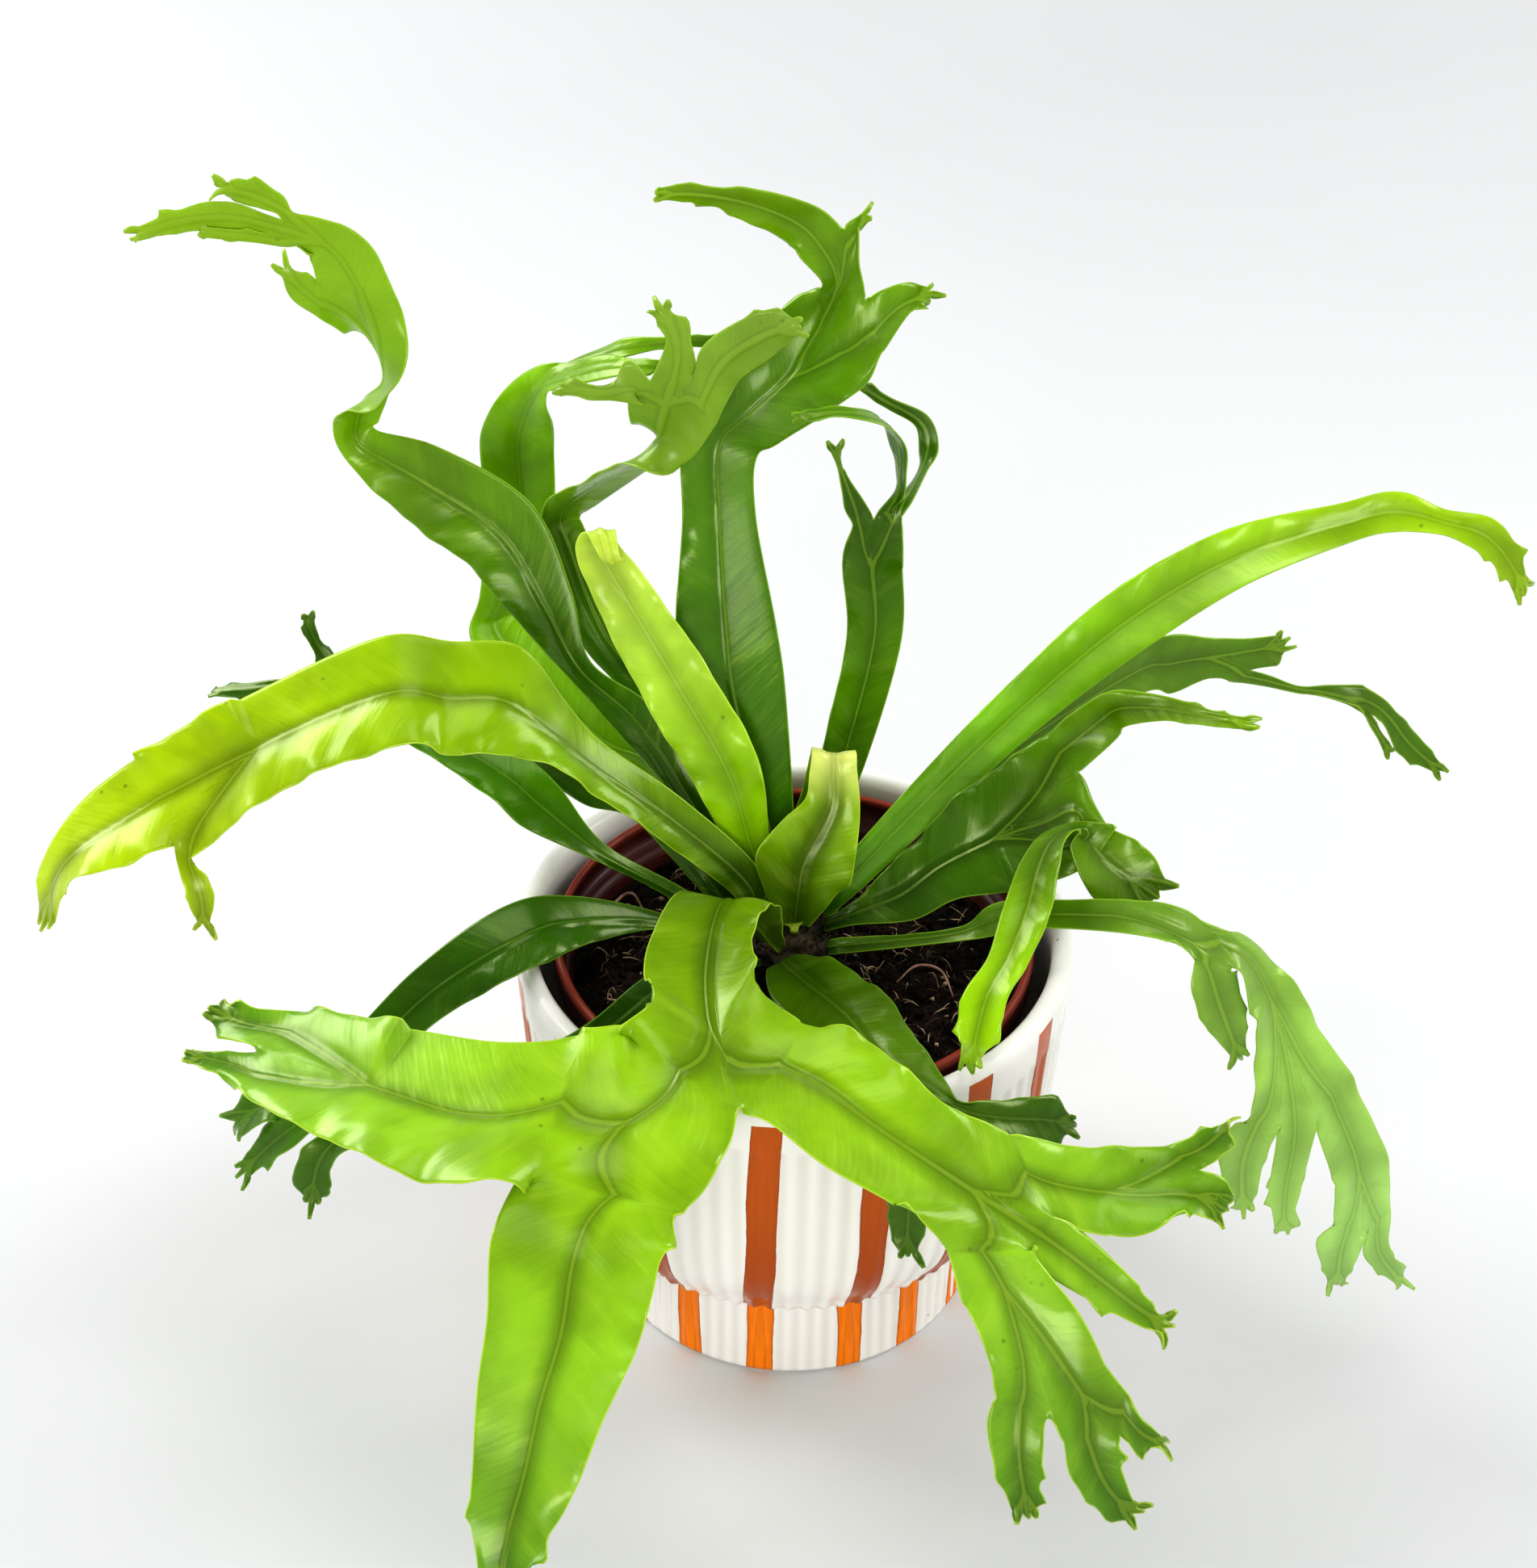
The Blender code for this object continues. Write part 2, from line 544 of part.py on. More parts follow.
def crown():
    """The rhizome, in three steps that leave a ledge for each ring of frond bases."""
    low = MIX_HEIGHT + CLEARANCE
    profile = [
        (CROWN_RADIUS - 1.2 * MM, low),
        (CROWN_RADIUS, low + 1.2 * MM),
        (CROWN_RADIUS - 0.3 * MM, low + 2.6 * MM),
        (CROWN_RADIUS - 3.4 * MM, low + 3.8 * MM),
        (CROWN_RADIUS - 3.6 * MM, low + 6.2 * MM),
        (CROWN_RADIUS - 7.8 * MM, low + 7.2 * MM),
        (CROWN_RADIUS - 8.2 * MM, low + CROWN_HEIGHT - 0.8 * MM),
        (CROWN_RADIUS - 9.2 * MM, low + CROWN_HEIGHT),
    ]
    mat = material("crown", (0.03, 0.02, 0.01), 0.8)
    return lathe("crown", profile, CROWN_SIDES, mat, centre=(CROWN_X, CROWN_Y))


def unit(v):
    return v / np.linalg.norm(v)


def facing(bearing, tilt):
    b, t = math.radians(bearing), math.radians(tilt)
    return [math.cos(b) * math.cos(t), math.sin(b) * math.cos(t), math.sin(t)]


def edge_places(part):
    """Where a blade's columns meet, from 0 at its left edge to 1 at its right one."""
    if not part.forks:
        return [0.0, 1.0]
    widths = [fork.stations[0][3] for fork in part.forks]
    places = [0.0]
    for fork, width in zip(part.forks, widths, strict=True):
        start, share = places[-1], width / sum(widths)
        places += [start + share * place for place in edge_places(fork)[1:]]
    return places


def smooth_rows(rows):
    """Catmull-Rom rows through the given ones, STEPS_PER_SPAN to each span."""
    ends = np.vstack([2 * rows[0] - rows[1], rows, 2 * rows[-1] - rows[-2]])
    out = []
    for a, b, c, d in zip(ends, ends[1:], ends[2:], ends[3:], strict=False):
        for k in range(STEPS_PER_SPAN):
            t = k / STEPS_PER_SPAN
            bend = 2 * a - 5 * b + 4 * c - d
            out.append(0.5 * (2 * b + (c - a) * t + bend * t**2 + (3 * b - a - 3 * c + d) * t**3))
    out.append(rows[-1])
    return np.array(out)


def blade_sheet(part):
    """The middle sheet of a frond: its vertices in metres and its four-sided faces."""
    verts, faces = [], []

    def grow(piece, first_row, section):
        places = edge_places(piece)
        columns = len(places) - 1
        rows = np.array([[*s[:4], *facing(s[4], s[5])] for s in piece.stations], float)
        if first_row is not None:
            rows = np.vstack([first_row, rows])
        rows = smooth_rows(rows)
        along = np.gradient(rows[:, :3], axis=0)
        for row, heading in list(zip(rows, along, strict=True))[0 if section is None else 1 :]:
            across = unit(np.cross(heading, row[4:])) * max(row[3], NARROWEST)
            start = len(verts)
            verts.extend(row[:3] + across * (place - 0.5) for place in places)
            new = list(range(start, start + columns + 1))
            if section is not None:
                for k in range(columns):
                    faces.append((section[k], section[k + 1], new[k + 1], new[k]))
            section = new
        at = 0
        for fork in piece.forks:
            columns = len(edge_places(fork)) - 1
            share = section[at : at + columns + 1]
            left, right = verts[share[0]], verts[share[-1]]
            width = np.linalg.norm(right - left)
            grow(fork, np.array([*(left + right) / 2, width, *rows[-1][4:]]), share)
            at += columns

    grow(part, None, None)
    return np.array(verts) * MM, faces


def frond(name, part):
    """A closed blade: the middle sheet moved half a thickness each way and joined at its edge."""
    verts, faces = blade_sheet(part)
    triangles = [t for a, b, c, d in faces for t in ((a, b, c), (a, c, d))]
    normals = np.zeros_like(verts)
    for a, b, c in triangles:
        normal = np.cross(verts[b] - verts[a], verts[c] - verts[a])
        for k in (a, b, c):
            normals[k] += normal
    normals /= np.linalg.norm(normals, axis=1)[:, None]
    half = normals * BLADE_THICKNESS / 2
    count = len(verts)
    solid = triangles + [(a + count, c + count, b + count) for a, b, c in triangles]
    sides = Counter((f[k], f[(k + 1) % 4]) for f in faces for k in range(4))
    for a, b in sides:
        if (b, a) not in sides:
            solid.append((b, a, a + count))
            solid.append((b, a + count, b + count))
    mat = material(f"leaf_{name}", LEAF_COLOURS[name], 0.35, coat=0.2)
    return add_object(name, np.vstack([verts + half, verts - half]), solid, mat)


def main():
    clear_scene()
    planter()
    nursery_pot()
    potting_mix()
    crown()
    for name, part in FRONDS.items():
        frond(name, part)


main()
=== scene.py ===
"""The looks of the potted fern: leaves, pots, potting mix, floor, light and camera."""

import math
from collections import Counter, namedtuple

import bpy
import numpy as np
from mathutils import Matrix


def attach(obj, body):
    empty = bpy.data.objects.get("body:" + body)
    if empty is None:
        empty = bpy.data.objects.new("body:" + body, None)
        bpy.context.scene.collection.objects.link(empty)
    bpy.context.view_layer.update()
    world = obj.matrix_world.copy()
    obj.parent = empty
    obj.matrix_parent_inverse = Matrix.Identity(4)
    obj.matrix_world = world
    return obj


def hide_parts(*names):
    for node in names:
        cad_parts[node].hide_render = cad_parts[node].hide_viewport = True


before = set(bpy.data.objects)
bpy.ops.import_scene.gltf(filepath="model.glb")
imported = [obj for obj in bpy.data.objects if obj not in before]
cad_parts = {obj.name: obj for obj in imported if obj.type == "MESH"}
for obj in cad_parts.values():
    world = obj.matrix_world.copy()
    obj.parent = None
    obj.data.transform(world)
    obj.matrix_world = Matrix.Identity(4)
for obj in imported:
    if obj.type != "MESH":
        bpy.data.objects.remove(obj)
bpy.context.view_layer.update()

MM = 0.001
TURN = 2 * math.pi

# Camera: a focal length for a 36 mm sensor's long side, and how the view looks down and rolls
LENS = 64.88
LOOK_DOWN = 0.636
ROLL = 0.0145
CAMERA_DISTANCE = 0.682
CAMERA_TARGET = (-0.007, 0.0, 0.152)

# Fronds, in millimetres, apart from the pulls, rounds and the veins' slant
COLUMN_PITCH = 0.8
ROW_PITCH = 1.2
BLADE_THICKNESS = 0.55
NARROWEST = 0.8
FORK_SMOOTHING = 13.0
FORK_PULL = 0.6
SHEET_ROUNDS = 90
WING_ROUNDS = 20
STALK_FADE = 22
EDGE_TAPER = 1.5
RIB_RISE = 0.55
FLANK_SINK = 0.22
RIB_BELOW = 0.75
STALK_BELOW = 1.1
LONG_RIPPLE = 23
SHORT_RIPPLE = 9.5
LONG_QUILT = 15
SHORT_QUILT = 8.3
VEIN_SLANT = 0.75

# The world's light overhead and at the horizon, how strongly the far floor glows and from what
# distance to what distance in metres that glow grows, and the floor's half width and its level
WORLD_LIGHT = 0.24
HORIZON_LIGHT = 0.8
FAR_GLOW = 0.5
FAR_FROM, FAR_TO = 0.6, 2.0
FLOOR_HALF = 12.0
FLOOR_LEVEL = -0.0001

# Softboxes, in metres and watts, all aimed at the same place
LIGHT_AIM = (0, 0, 0.13)
SOFTBOXES = [
    ("key_window", (-0.9, 0.55, 0.95), (0.7, 0.6), 12.5),
    ("right_window", (0.95, 0.25, 0.85), (0.6, 0.5), 7.0),
    ("front_fill", (0.25, -1.3, 1.1), (1.2, 0.8), 2.6),
    ("front_window", (-0.25, -1.4, 0.5), (0.45, 0.4), 5.5),
    ("top", (0.0, 0.05, 1.5), (0.7, 0.7), 4.0),
]

Blade = namedtuple("Blade", "stations forks")
Plan = namedtuple("Plan", "stations places forks")


def blade(stations, forks=()):
    return Blade(stations, forks)


# A station is (x, y, z, width, bearing, tilt): the blade's middle and its width in millimetres,
# then the way that its upper face looks, as degrees from +X towards +Y and degrees upwards.
# Forks are listed from the blade's left edge to its right, seen from its upper face.
# These are the CAD's own stations, apart from the curled tip of frond_young_lime.
FRONDS = {
    "frond_spiral": blade([
        (-10, 13, 101, 4, -25, 20), (-27, 22, 131, 6, -95, 20), (-40, 32, 147, 11, -105, 25),
        (-55, 42, 156, 7, -100, 30), (-64, 50, 170, 16, -100, 25), (-75, 58, 186, 23, -100, 15),
        (-95, 65, 197, 21, -105, 10), (-110, 70, 204, 11, -95, 15), (-111, 70, 211, 12, -70, -5),
        (-108, 70, 217, 16, -45, -30), (-103, 68, 223, 18, -10, -20), (-103, 68, 231, 18, 40, 5),
        (-104, 67, 237, 17, 75, 15), (-108, 66, 245, 20, 90, 5),
    ], forks=[
        blade([
            (-111, 66, 257, 16, 90, 5), (-116, 65, 263, 10, 95, 10), (-122, 64, 265, 10, 95, 10),
        ], forks=[
            blade([
                (-124, 62, 273, 5, 105, 5), (-133, 60, 277, 6, 105, 10),
                (-136, 58, 278, 2, 115, 20),
            ]),
            blade([
                (-135, 60, 270, 8, 105, 15), (-146, 57, 270, 6, 105, 15),
                (-156, 54, 268, 1, 110, 10),
            ]),
            blade([
                (-129, 62, 264, 3, 105, 5), (-142, 58, 267, 1, 105, 5),
            ]),
        ]),
        blade([
            (-121, 66, 249, 7, 90, 0), (-125, 66, 254, 1, 90, 0),
        ]),
    ]),
    "frond_back_left": blade([
        (-7, 16, 101, 4, -50, 20), (-26, 33, 129, 6, -100, 30), (-36, 46, 144, 9, -95, 35),
        (-50, 57, 158, 13, -105, 20), (-59, 66, 179, 11, -100, 20), (-61, 68, 185, 11, -70, -10),
        (-56, 65, 193, 13, -85, -30), (-37, 56, 211, 15, -60, -45), (-35, 51, 216, 17, 55, 15),
        (-32, 47, 227, 22, 75, 15),
    ], forks=[
        blade([
            (-20, 45, 241, 12, 75, -5), (-13, 43, 248, 12, 80, 0), (-6, 43, 252, 10, 85, 0),
            (-1, 42, 253, 2, 85, 0),
        ]),
        blade([
            (-30, 47, 240, 9, 75, 0), (-30, 46, 248, 5, 90, 5), (-34, 46, 255, 1, 90, 0),
        ]),
        blade([
            (-40, 48, 234, 12, 85, 0), (-45, 48, 232, 5, 95, 0), (-50, 47, 232, 3, 100, 0),
            (-58, 46, 234, 1, 95, 0),
        ]),
    ]),
    "frond_far_left": blade([
        (-11, 17, 97, 4, -40, 20), (-35, 35, 129, 7, -95, 30), (-51, 44, 134, 12, -120, 35),
        (-78, 72, 145, 14, -115, 55), (-77, 80, 152, 14, -100, 35), (-73, 90, 172, 17, -90, 15),
        (-73, 91, 195, 19, -95, -5), (-66, 84, 214, 10, -150, 15), (-60, 80, 219, 8, -165, 45),
    ], forks=[
        blade([
            (-52, 82, 223, 4, -165, 55), (-44, 78, 228, 5, -135, 45), (-35, 75, 231, 3, -120, 30),
            (-21, 70, 235, 1, -105, -10),
        ]),
        blade([
            (-50, 73, 225, 7, -145, 45), (-41, 68, 228, 4, -145, 65), (-32, 66, 230, 1, -100, -5),
        ]),
    ]),
    "frond_tall": blade([
        (-2, 18, 101, 4, -85, 20), (-4, 20, 113, 9, -95, 10), (-15, 29, 153, 25, -90, 15),
        (-18, 35, 173, 25, -90, 20), (-20, 46, 199, 18, -90, 25), (-20, 53, 215, 19, -90, 20),
        (-12, 54, 224, 20, -100, 20), (5, 58, 239, 27, -110, 30), (11, 59, 246, 22, -110, 25),
    ], forks=[
        blade([
            (8, 60, 258, 11, -90, 5), (5, 61, 266, 16, -85, 10),
        ], forks=[
            blade([
                (-2, 60, 271, 12, -90, -15), (-12, 58, 276, 9, -85, -15),
                (-21, 56, 279, 5, -80, -15), (-29, 54, 281, 4, -75, -10),
                (-35, 52, 281, 1, -75, 5),
            ]),
            blade([
                (11, 64, 268, 3, -75, 20), (15, 65, 271, 1, -85, 10),
            ]),
        ]),
        blade([
            (22, 59, 251, 9, -90, 20), (26, 61, 252, 5, -65, 50), (30, 63, 251, 1, -65, 10),
        ]),
    ]),
    "frond_young_lime": blade([
        (-1, 14, 105, 4, -85, 20), (-10, 14, 119, 9, -90, 5), (-17, 19, 141, 17, -90, 15),
        (-29, 25, 162, 18, -90, 20), (-41, 31, 182, 15, -90, 15), (-49, 35, 196, 11, -90, 5),
        (-49, 34, 201, 9, -90, -30), (-48, 31, 204, 7, -80, -75), (-47, 28, 203, 6, 80, -50),
        (-46, 26, 200, 5, 80, -10), (-45, 27, 197, 5, 80, 40), (-44, 29, 198, 3, 80, 80),
    ]),
    "frond_right_upright": blade([
        (3, 18, 101, 4, -110, 20), (5, 30, 107, 6, -90, 40), (12, 42, 129, 12, -85, 15),
        (19, 47, 163, 14, -90, 5), (18, 49, 185, 15, -90, 5), (19, 49, 195, 13, -90, 0),
    ], forks=[
        blade([
            (13, 50, 201, 5, -90, 5), (11, 50, 206, 3, -80, 10), (9, 51, 211, 1, -90, 10),
            (8, 52, 216, 1, -90, 10),
        ]),
        blade([
            (22, 50, 198, 6, -100, 25),
        ], forks=[
            blade([
                (24, 48, 205, 3, -140, -5), (24, 46, 213, 5, -155, -10),
                (23, 45, 221, 6, -145, -25), (19, 43, 228, 6, -165, -50),
                (10, 40, 232, 4, 145, -70), (3, 39, 232, 3, 85, -70), (-2, 38, 231, 1, 95, 0),
            ]),
            blade([
                (27, 52, 203, 5, -170, 40), (30, 54, 209, 5, -170, 20), (31, 56, 214, 5, -110, 15),
                (29, 58, 220, 4, -100, 5), (21, 59, 224, 3, -95, 5), (13, 60, 229, 1, -95, 0),
            ]),
        ]),
    ]),
    "frond_long_right": blade([
        (7, 15, 101, 4, -145, 20), (13, 14, 111, 8, -90, 25), (34, 28, 128, 11, -95, 40),
        (58, 41, 148, 14, -90, 30), (83, 50, 168, 17, -95, 25), (109, 55, 184, 15, -100, 25),
        (135, 54, 195, 10, -110, 35), (147, 53, 199, 10, -100, 40), (159, 51, 197, 7, -80, 65),
        (169, 49, 195, 9, -85, 35), (176, 47, 188, 6, -70, 25), (180, 46, 181, 3, -75, 15),
    ]),
    "frond_behind_right": blade([
        (8, 18, 97, 4, -135, 20), (19, 29, 108, 8, -80, 40), (58, 55, 125, 5, -75, 35),
        (89, 71, 138, 13, -70, 20), (99, 74, 139, 17, -75, 15), (110, 77, 139, 11, -75, 25),
        (119, 79, 137, 12, -80, 20),
    ], forks=[
        blade([
            (126, 80, 140, 8, -90, 20), (130, 81, 142, 5, -95, 25),
        ]),
        blade([
            (127, 78, 131, 3, -85, 20), (135, 77, 129, 2, -90, 40), (142, 77, 129, 3, -95, 45),
            (151, 75, 129, 6, -100, 35),
        ], forks=[
            blade([
                (159, 74, 123, 5, -65, 30), (166, 73, 114, 7, -75, 20), (175, 72, 107, 3, -80, 20),
            ]),
            blade([
                (156, 72, 120, 2, -70, 25), (161, 72, 112, 1, -90, 0),
            ]),
        ]),
    ]),
    "frond_broad_right": blade([
        (8, 9, 101, 4, -180, 20), (15, 6, 107, 6, -135, 50), (27, 8, 112, 15, -120, 50),
        (37, 10, 120, 20, -130, 45), (50, 11, 128, 29, -115, 45), (62, 12, 135, 33, -120, 40),
        (70, 14, 144, 30, -130, 35),
    ], forks=[
        blade([
            (75, 22, 157, 12, -95, 20), (79, 20, 162, 10, -115, 10), (90, 17, 164, 6, -110, 25),
            (101, 13, 164, 4, -110, 25), (109, 11, 164, 1, -105, 45),
        ]),
        blade([
            (71, 2, 136, 11, -70, 50), (78, -3, 130, 17, -95, 35), (84, -6, 128, 15, -100, 30),
            (89, -8, 125, 8, -90, 35),
        ]),
        blade([
            (64, 0, 138, 8, -160, 65), (59, -10, 136, 10, -135, 75), (55, -24, 132, 12, -120, 70),
            (50, -35, 126, 10, -125, 60), (45, -42, 121, 11, -120, 55),
            (43, -48, 115, 10, -115, 60), (41, -52, 114, 4, -90, 65), (41, -55, 112, 3, -90, 55),
        ]),
    ]),
    "frond_low_right": blade([
        (11, 5, 97, 4, 160, 20), (11, -3, 104, 4, -135, 35), (39, -8, 112, 4, -165, 65),
        (50, -11, 120, 8, -130, 40), (63, -15, 125, 7, -125, 45), (87, -24, 131, 9, -115, 50),
        (97, -28, 128, 10, -90, 50),
    ], forks=[
        blade([
            (109, -28, 122, 11, -25, 45), (115, -31, 111, 16, -50, 30),
            (120, -35, 98, 22, -60, 25), (123, -38, 88, 30, -65, 25),
        ], forks=[
            blade([
                (140, -40, 68, 15, -70, 20), (143, -43, 52, 15, -80, 15),
            ], forks=[
                blade([
                    (148, -44, 41, 7, -80, 10), (156, -45, 30, 2, -60, 25),
                ]),
                blade([
                    (138, -45, 45, 12, -85, 5), (139, -46, 30, 3, -95, 5),
                ]),
            ]),
            blade([
                (123, -43, 77, 10, -70, 15), (122, -45, 64, 8, -75, 5), (123, -46, 49, 2, -90, 5),
            ]),
            blade([
                (112, -45, 83, 12, -75, 20), (110, -47, 73, 11, -75, 5), (112, -48, 59, 3, -90, 5),
            ]),
        ]),
        blade([
            (100, -33, 119, 12, -70, 30), (104, -36, 109, 9, -70, 20), (108, -37, 99, 3, -70, 10),
        ]),
    ]),
    "frond_front": blade([
        (-4, 0, 101, 4, 70, 20), (-10, -6, 114, 15, 65, 35), (-17, -13, 126, 24, 75, 60),
        (-22, -32, 129, 25, 100, 85), (-22, -44, 129, 27, -80, 85), (-20, -52, 128, 25, -90, 80),
        (-19, -62, 127, 44, -70, 80),
    ], forks=[
        blade([
            (3, -73, 123, 31, -60, 75), (15, -81, 119, 32, -65, 75), (29, -88, 114, 28, -65, 60),
            (41, -92, 107, 31, -55, 50),
        ], forks=[
            blade([
                (61, -86, 103, 19, -65, 60), (76, -86, 101, 21, -95, 65),
                (87, -85, 104, 18, -120, 65),
            ], forks=[
                blade([
                    (95, -80, 111, 7, -135, 45), (99, -78, 117, 2, 180, 35),
                ]),
                blade([
                    (95, -88, 102, 11, -70, 55), (99, -89, 99, 8, -60, 40),
                ]),
            ]),
            blade([
                (61, -99, 95, 13, -70, 55), (71, -104, 90, 10, -80, 50),
                (80, -108, 84, 5, -75, 40), (85, -108, 81, 2, -30, 55),
            ]),
            blade([
                (47, -108, 93, 20, -80, 50), (54, -115, 85, 23, -85, 40),
                (57, -121, 78, 26, -80, 40),
            ], forks=[
                blade([
                    (68, -125, 70, 18, -85, 35),
                ], forks=[
                    blade([
                        (78, -127, 67, 6, -85, 30), (84, -127, 64, 2, -25, 70),
                    ]),
                    blade([
                        (68, -131, 61, 12, -85, 30), (73, -134, 53, 8, -90, 15),
                        (78, -135, 50, 1, -90, 20),
                    ]),
                ]),
                blade([
                    (50, -128, 70, 13, -85, 35), (51, -133, 61, 10, -80, 25),
                    (53, -137, 51, 5, -90, 20),
                ]),
            ]),
        ]),
        blade([
            (-26, -80, 122, 43, -100, 75), (-36, -85, 120, 53, -110, 70),
        ], forks=[
            blade([
                (-45, -106, 112, 36, -70, 65), (-48, -116, 108, 37, -75, 55),
                (-50, -129, 99, 33, -80, 50), (-54, -141, 90, 28, -85, 50),
                (-57, -151, 79, 23, -90, 45), (-60, -159, 71, 17, -90, 40),
                (-62, -166, 62, 7, -100, 45), (-62, -171, 58, 1, -90, 50),
            ]),
            blade([
                (-62, -86, 122, 44, -85, 80), (-76, -83, 120, 41, -130, 75),
                (-93, -75, 119, 36, -135, 75), (-107, -68, 118, 32, -135, 75),
                (-119, -61, 117, 28, -130, 80),
            ], forks=[
                blade([
                    (-128, -62, 114, 9, -140, 80), (-142, -58, 114, 2, -160, 85),
                ]),
                blade([
                    (-131, -50, 117, 9, -130, 60), (-137, -45, 117, 5, -125, 55),
                ]),
            ]),
        ]),
    ]),
    "frond_young_centre": blade([
        (0, 4, 105, 4, 100, 20), (0, 5, 104, 7, -85, 20), (1, 7, 114, 18, -90, 15),
        (2, 9, 120, 25, -90, 20), (6, 12, 128, 20, -90, 25), (9, 15, 135, 14, -90, 25),
        (9, 19, 142, 12, -85, 35), (9, 22, 145, 11, 80, 65), (8, 30, 136, 10, 85, 30),
        (4, 34, 124, 5, 85, 15), (0, 35, 116, 1, 90, 5),
    ]),
    "frond_broad_left": blade([
        (-10, 7, 101, 4, 10, 20), (-12, 9, 114, 9, -75, 10), (-30, 9, 133, 12, -55, 30),
        (-50, 9, 150, 15, -35, 45), (-60, 9, 160, 19, -40, 40), (-71, 9, 169, 28, -65, 40),
        (-84, 8, 170, 29, -80, 50), (-98, 7, 172, 30, -100, 55), (-127, 3, 160, 28, -115, 50),
        (-153, -4, 145, 30, -110, 45),
    ], forks=[
        blade([
            (-144, -18, 134, 6, -75, 45), (-143, -20, 128, 6, -85, 15),
            (-143, -21, 122, 2, -90, 15),
        ]),
        blade([
            (-166, -8, 141, 24, -110, 60), (-175, -12, 136, 17, -130, 50),
            (-180, -14, 129, 13, -140, 30), (-182, -17, 120, 7, -140, 20),
        ]),
    ]),
    "frond_under_left": blade([
        (-14, 8, 97, 4, 5, 20), (-29, 14, 106, 4, -95, 20), (-50, 19, 116, 5, -95, 30),
        (-65, 27, 124, 14, -85, 40), (-76, 32, 131, 15, -70, 60), (-103, 44, 141, 12, -90, 60),
        (-118, 51, 143, 11, -100, 65),
    ], forks=[
        blade([
            (-133, 53, 142, 4, -110, 45), (-143, 55, 139, 4, -120, 50),
            (-153, 57, 137, 1, -130, 60),
        ]),
        blade([
            (-123, 57, 150, 3, -50, 40), (-125, 58, 155, 3, -90, 20), (-126, 60, 160, 2, -95, 20),
        ]),
    ]),
    "frond_dark_left": blade([
        (-13, 13, 97, 4, -15, 20), (-23, 15, 112, 7, -110, 20), (-39, 30, 122, 8, -115, 30),
        (-52, 36, 123, 9, -115, 30), (-64, 44, 126, 9, -105, 45), (-77, 50, 130, 8, -100, 35),
        (-88, 55, 135, 5, -100, 30),
    ]),
    "frond_low_left": blade([
        (-12, 3, 97, 4, 30, 20), (-34, 2, 107, 5, -45, 55), (-54, -7, 114, 14, -40, 55),
        (-67, -16, 116, 19, -85, 65), (-88, -26, 107, 14, -95, 45), (-108, -37, 91, 12, -105, 45),
        (-120, -43, 84, 15, -110, 50),
    ], forks=[
        blade([
            (-126, -46, 76, 9, -125, 35), (-135, -47, 66, 3, -120, 35),
        ]),
        blade([
            (-130, -41, 82, 11, -135, 55), (-137, -42, 76, 8, -145, 45),
        ]),
    ]),
    "frond_front_left": blade([
        (-9, -1, 97, 4, 50, 20), (-26, -9, 100, 8, -10, 65), (-35, -25, 106, 9, 0, 55),
        (-46, -48, 113, 8, -25, 50), (-59, -58, 111, 9, -95, 55), (-76, -59, 102, 11, -130, 50),
        (-93, -58, 93, 11, -140, 50), (-107, -55, 86, 8, -135, 45), (-114, -57, 80, 8, -100, 20),
        (-116, -58, 72, 10, -105, 15), (-116, -59, 68, 3, -95, 15),
    ]),
    "frond_front_right": blade([
        (0, -4, 97, 4, 95, 20), (-3, -5, 100, 8, 140, 60), (3, -19, 105, 19, 145, 75),
        (13, -36, 109, 21, 155, 80), (21, -55, 111, 20, 170, 85), (30, -71, 111, 18, -135, 85),
    ], forks=[
        blade([
            (47, -67, 106, 8, -45, 55), (60, -62, 101, 11, -50, 45), (66, -60, 98, 2, -50, 40),
        ]),
        blade([
            (28, -76, 102, 10, -80, 20), (27, -80, 87, 9, -100, 15), (27, -83, 77, 2, -70, 15),
        ]),
    ]),
}

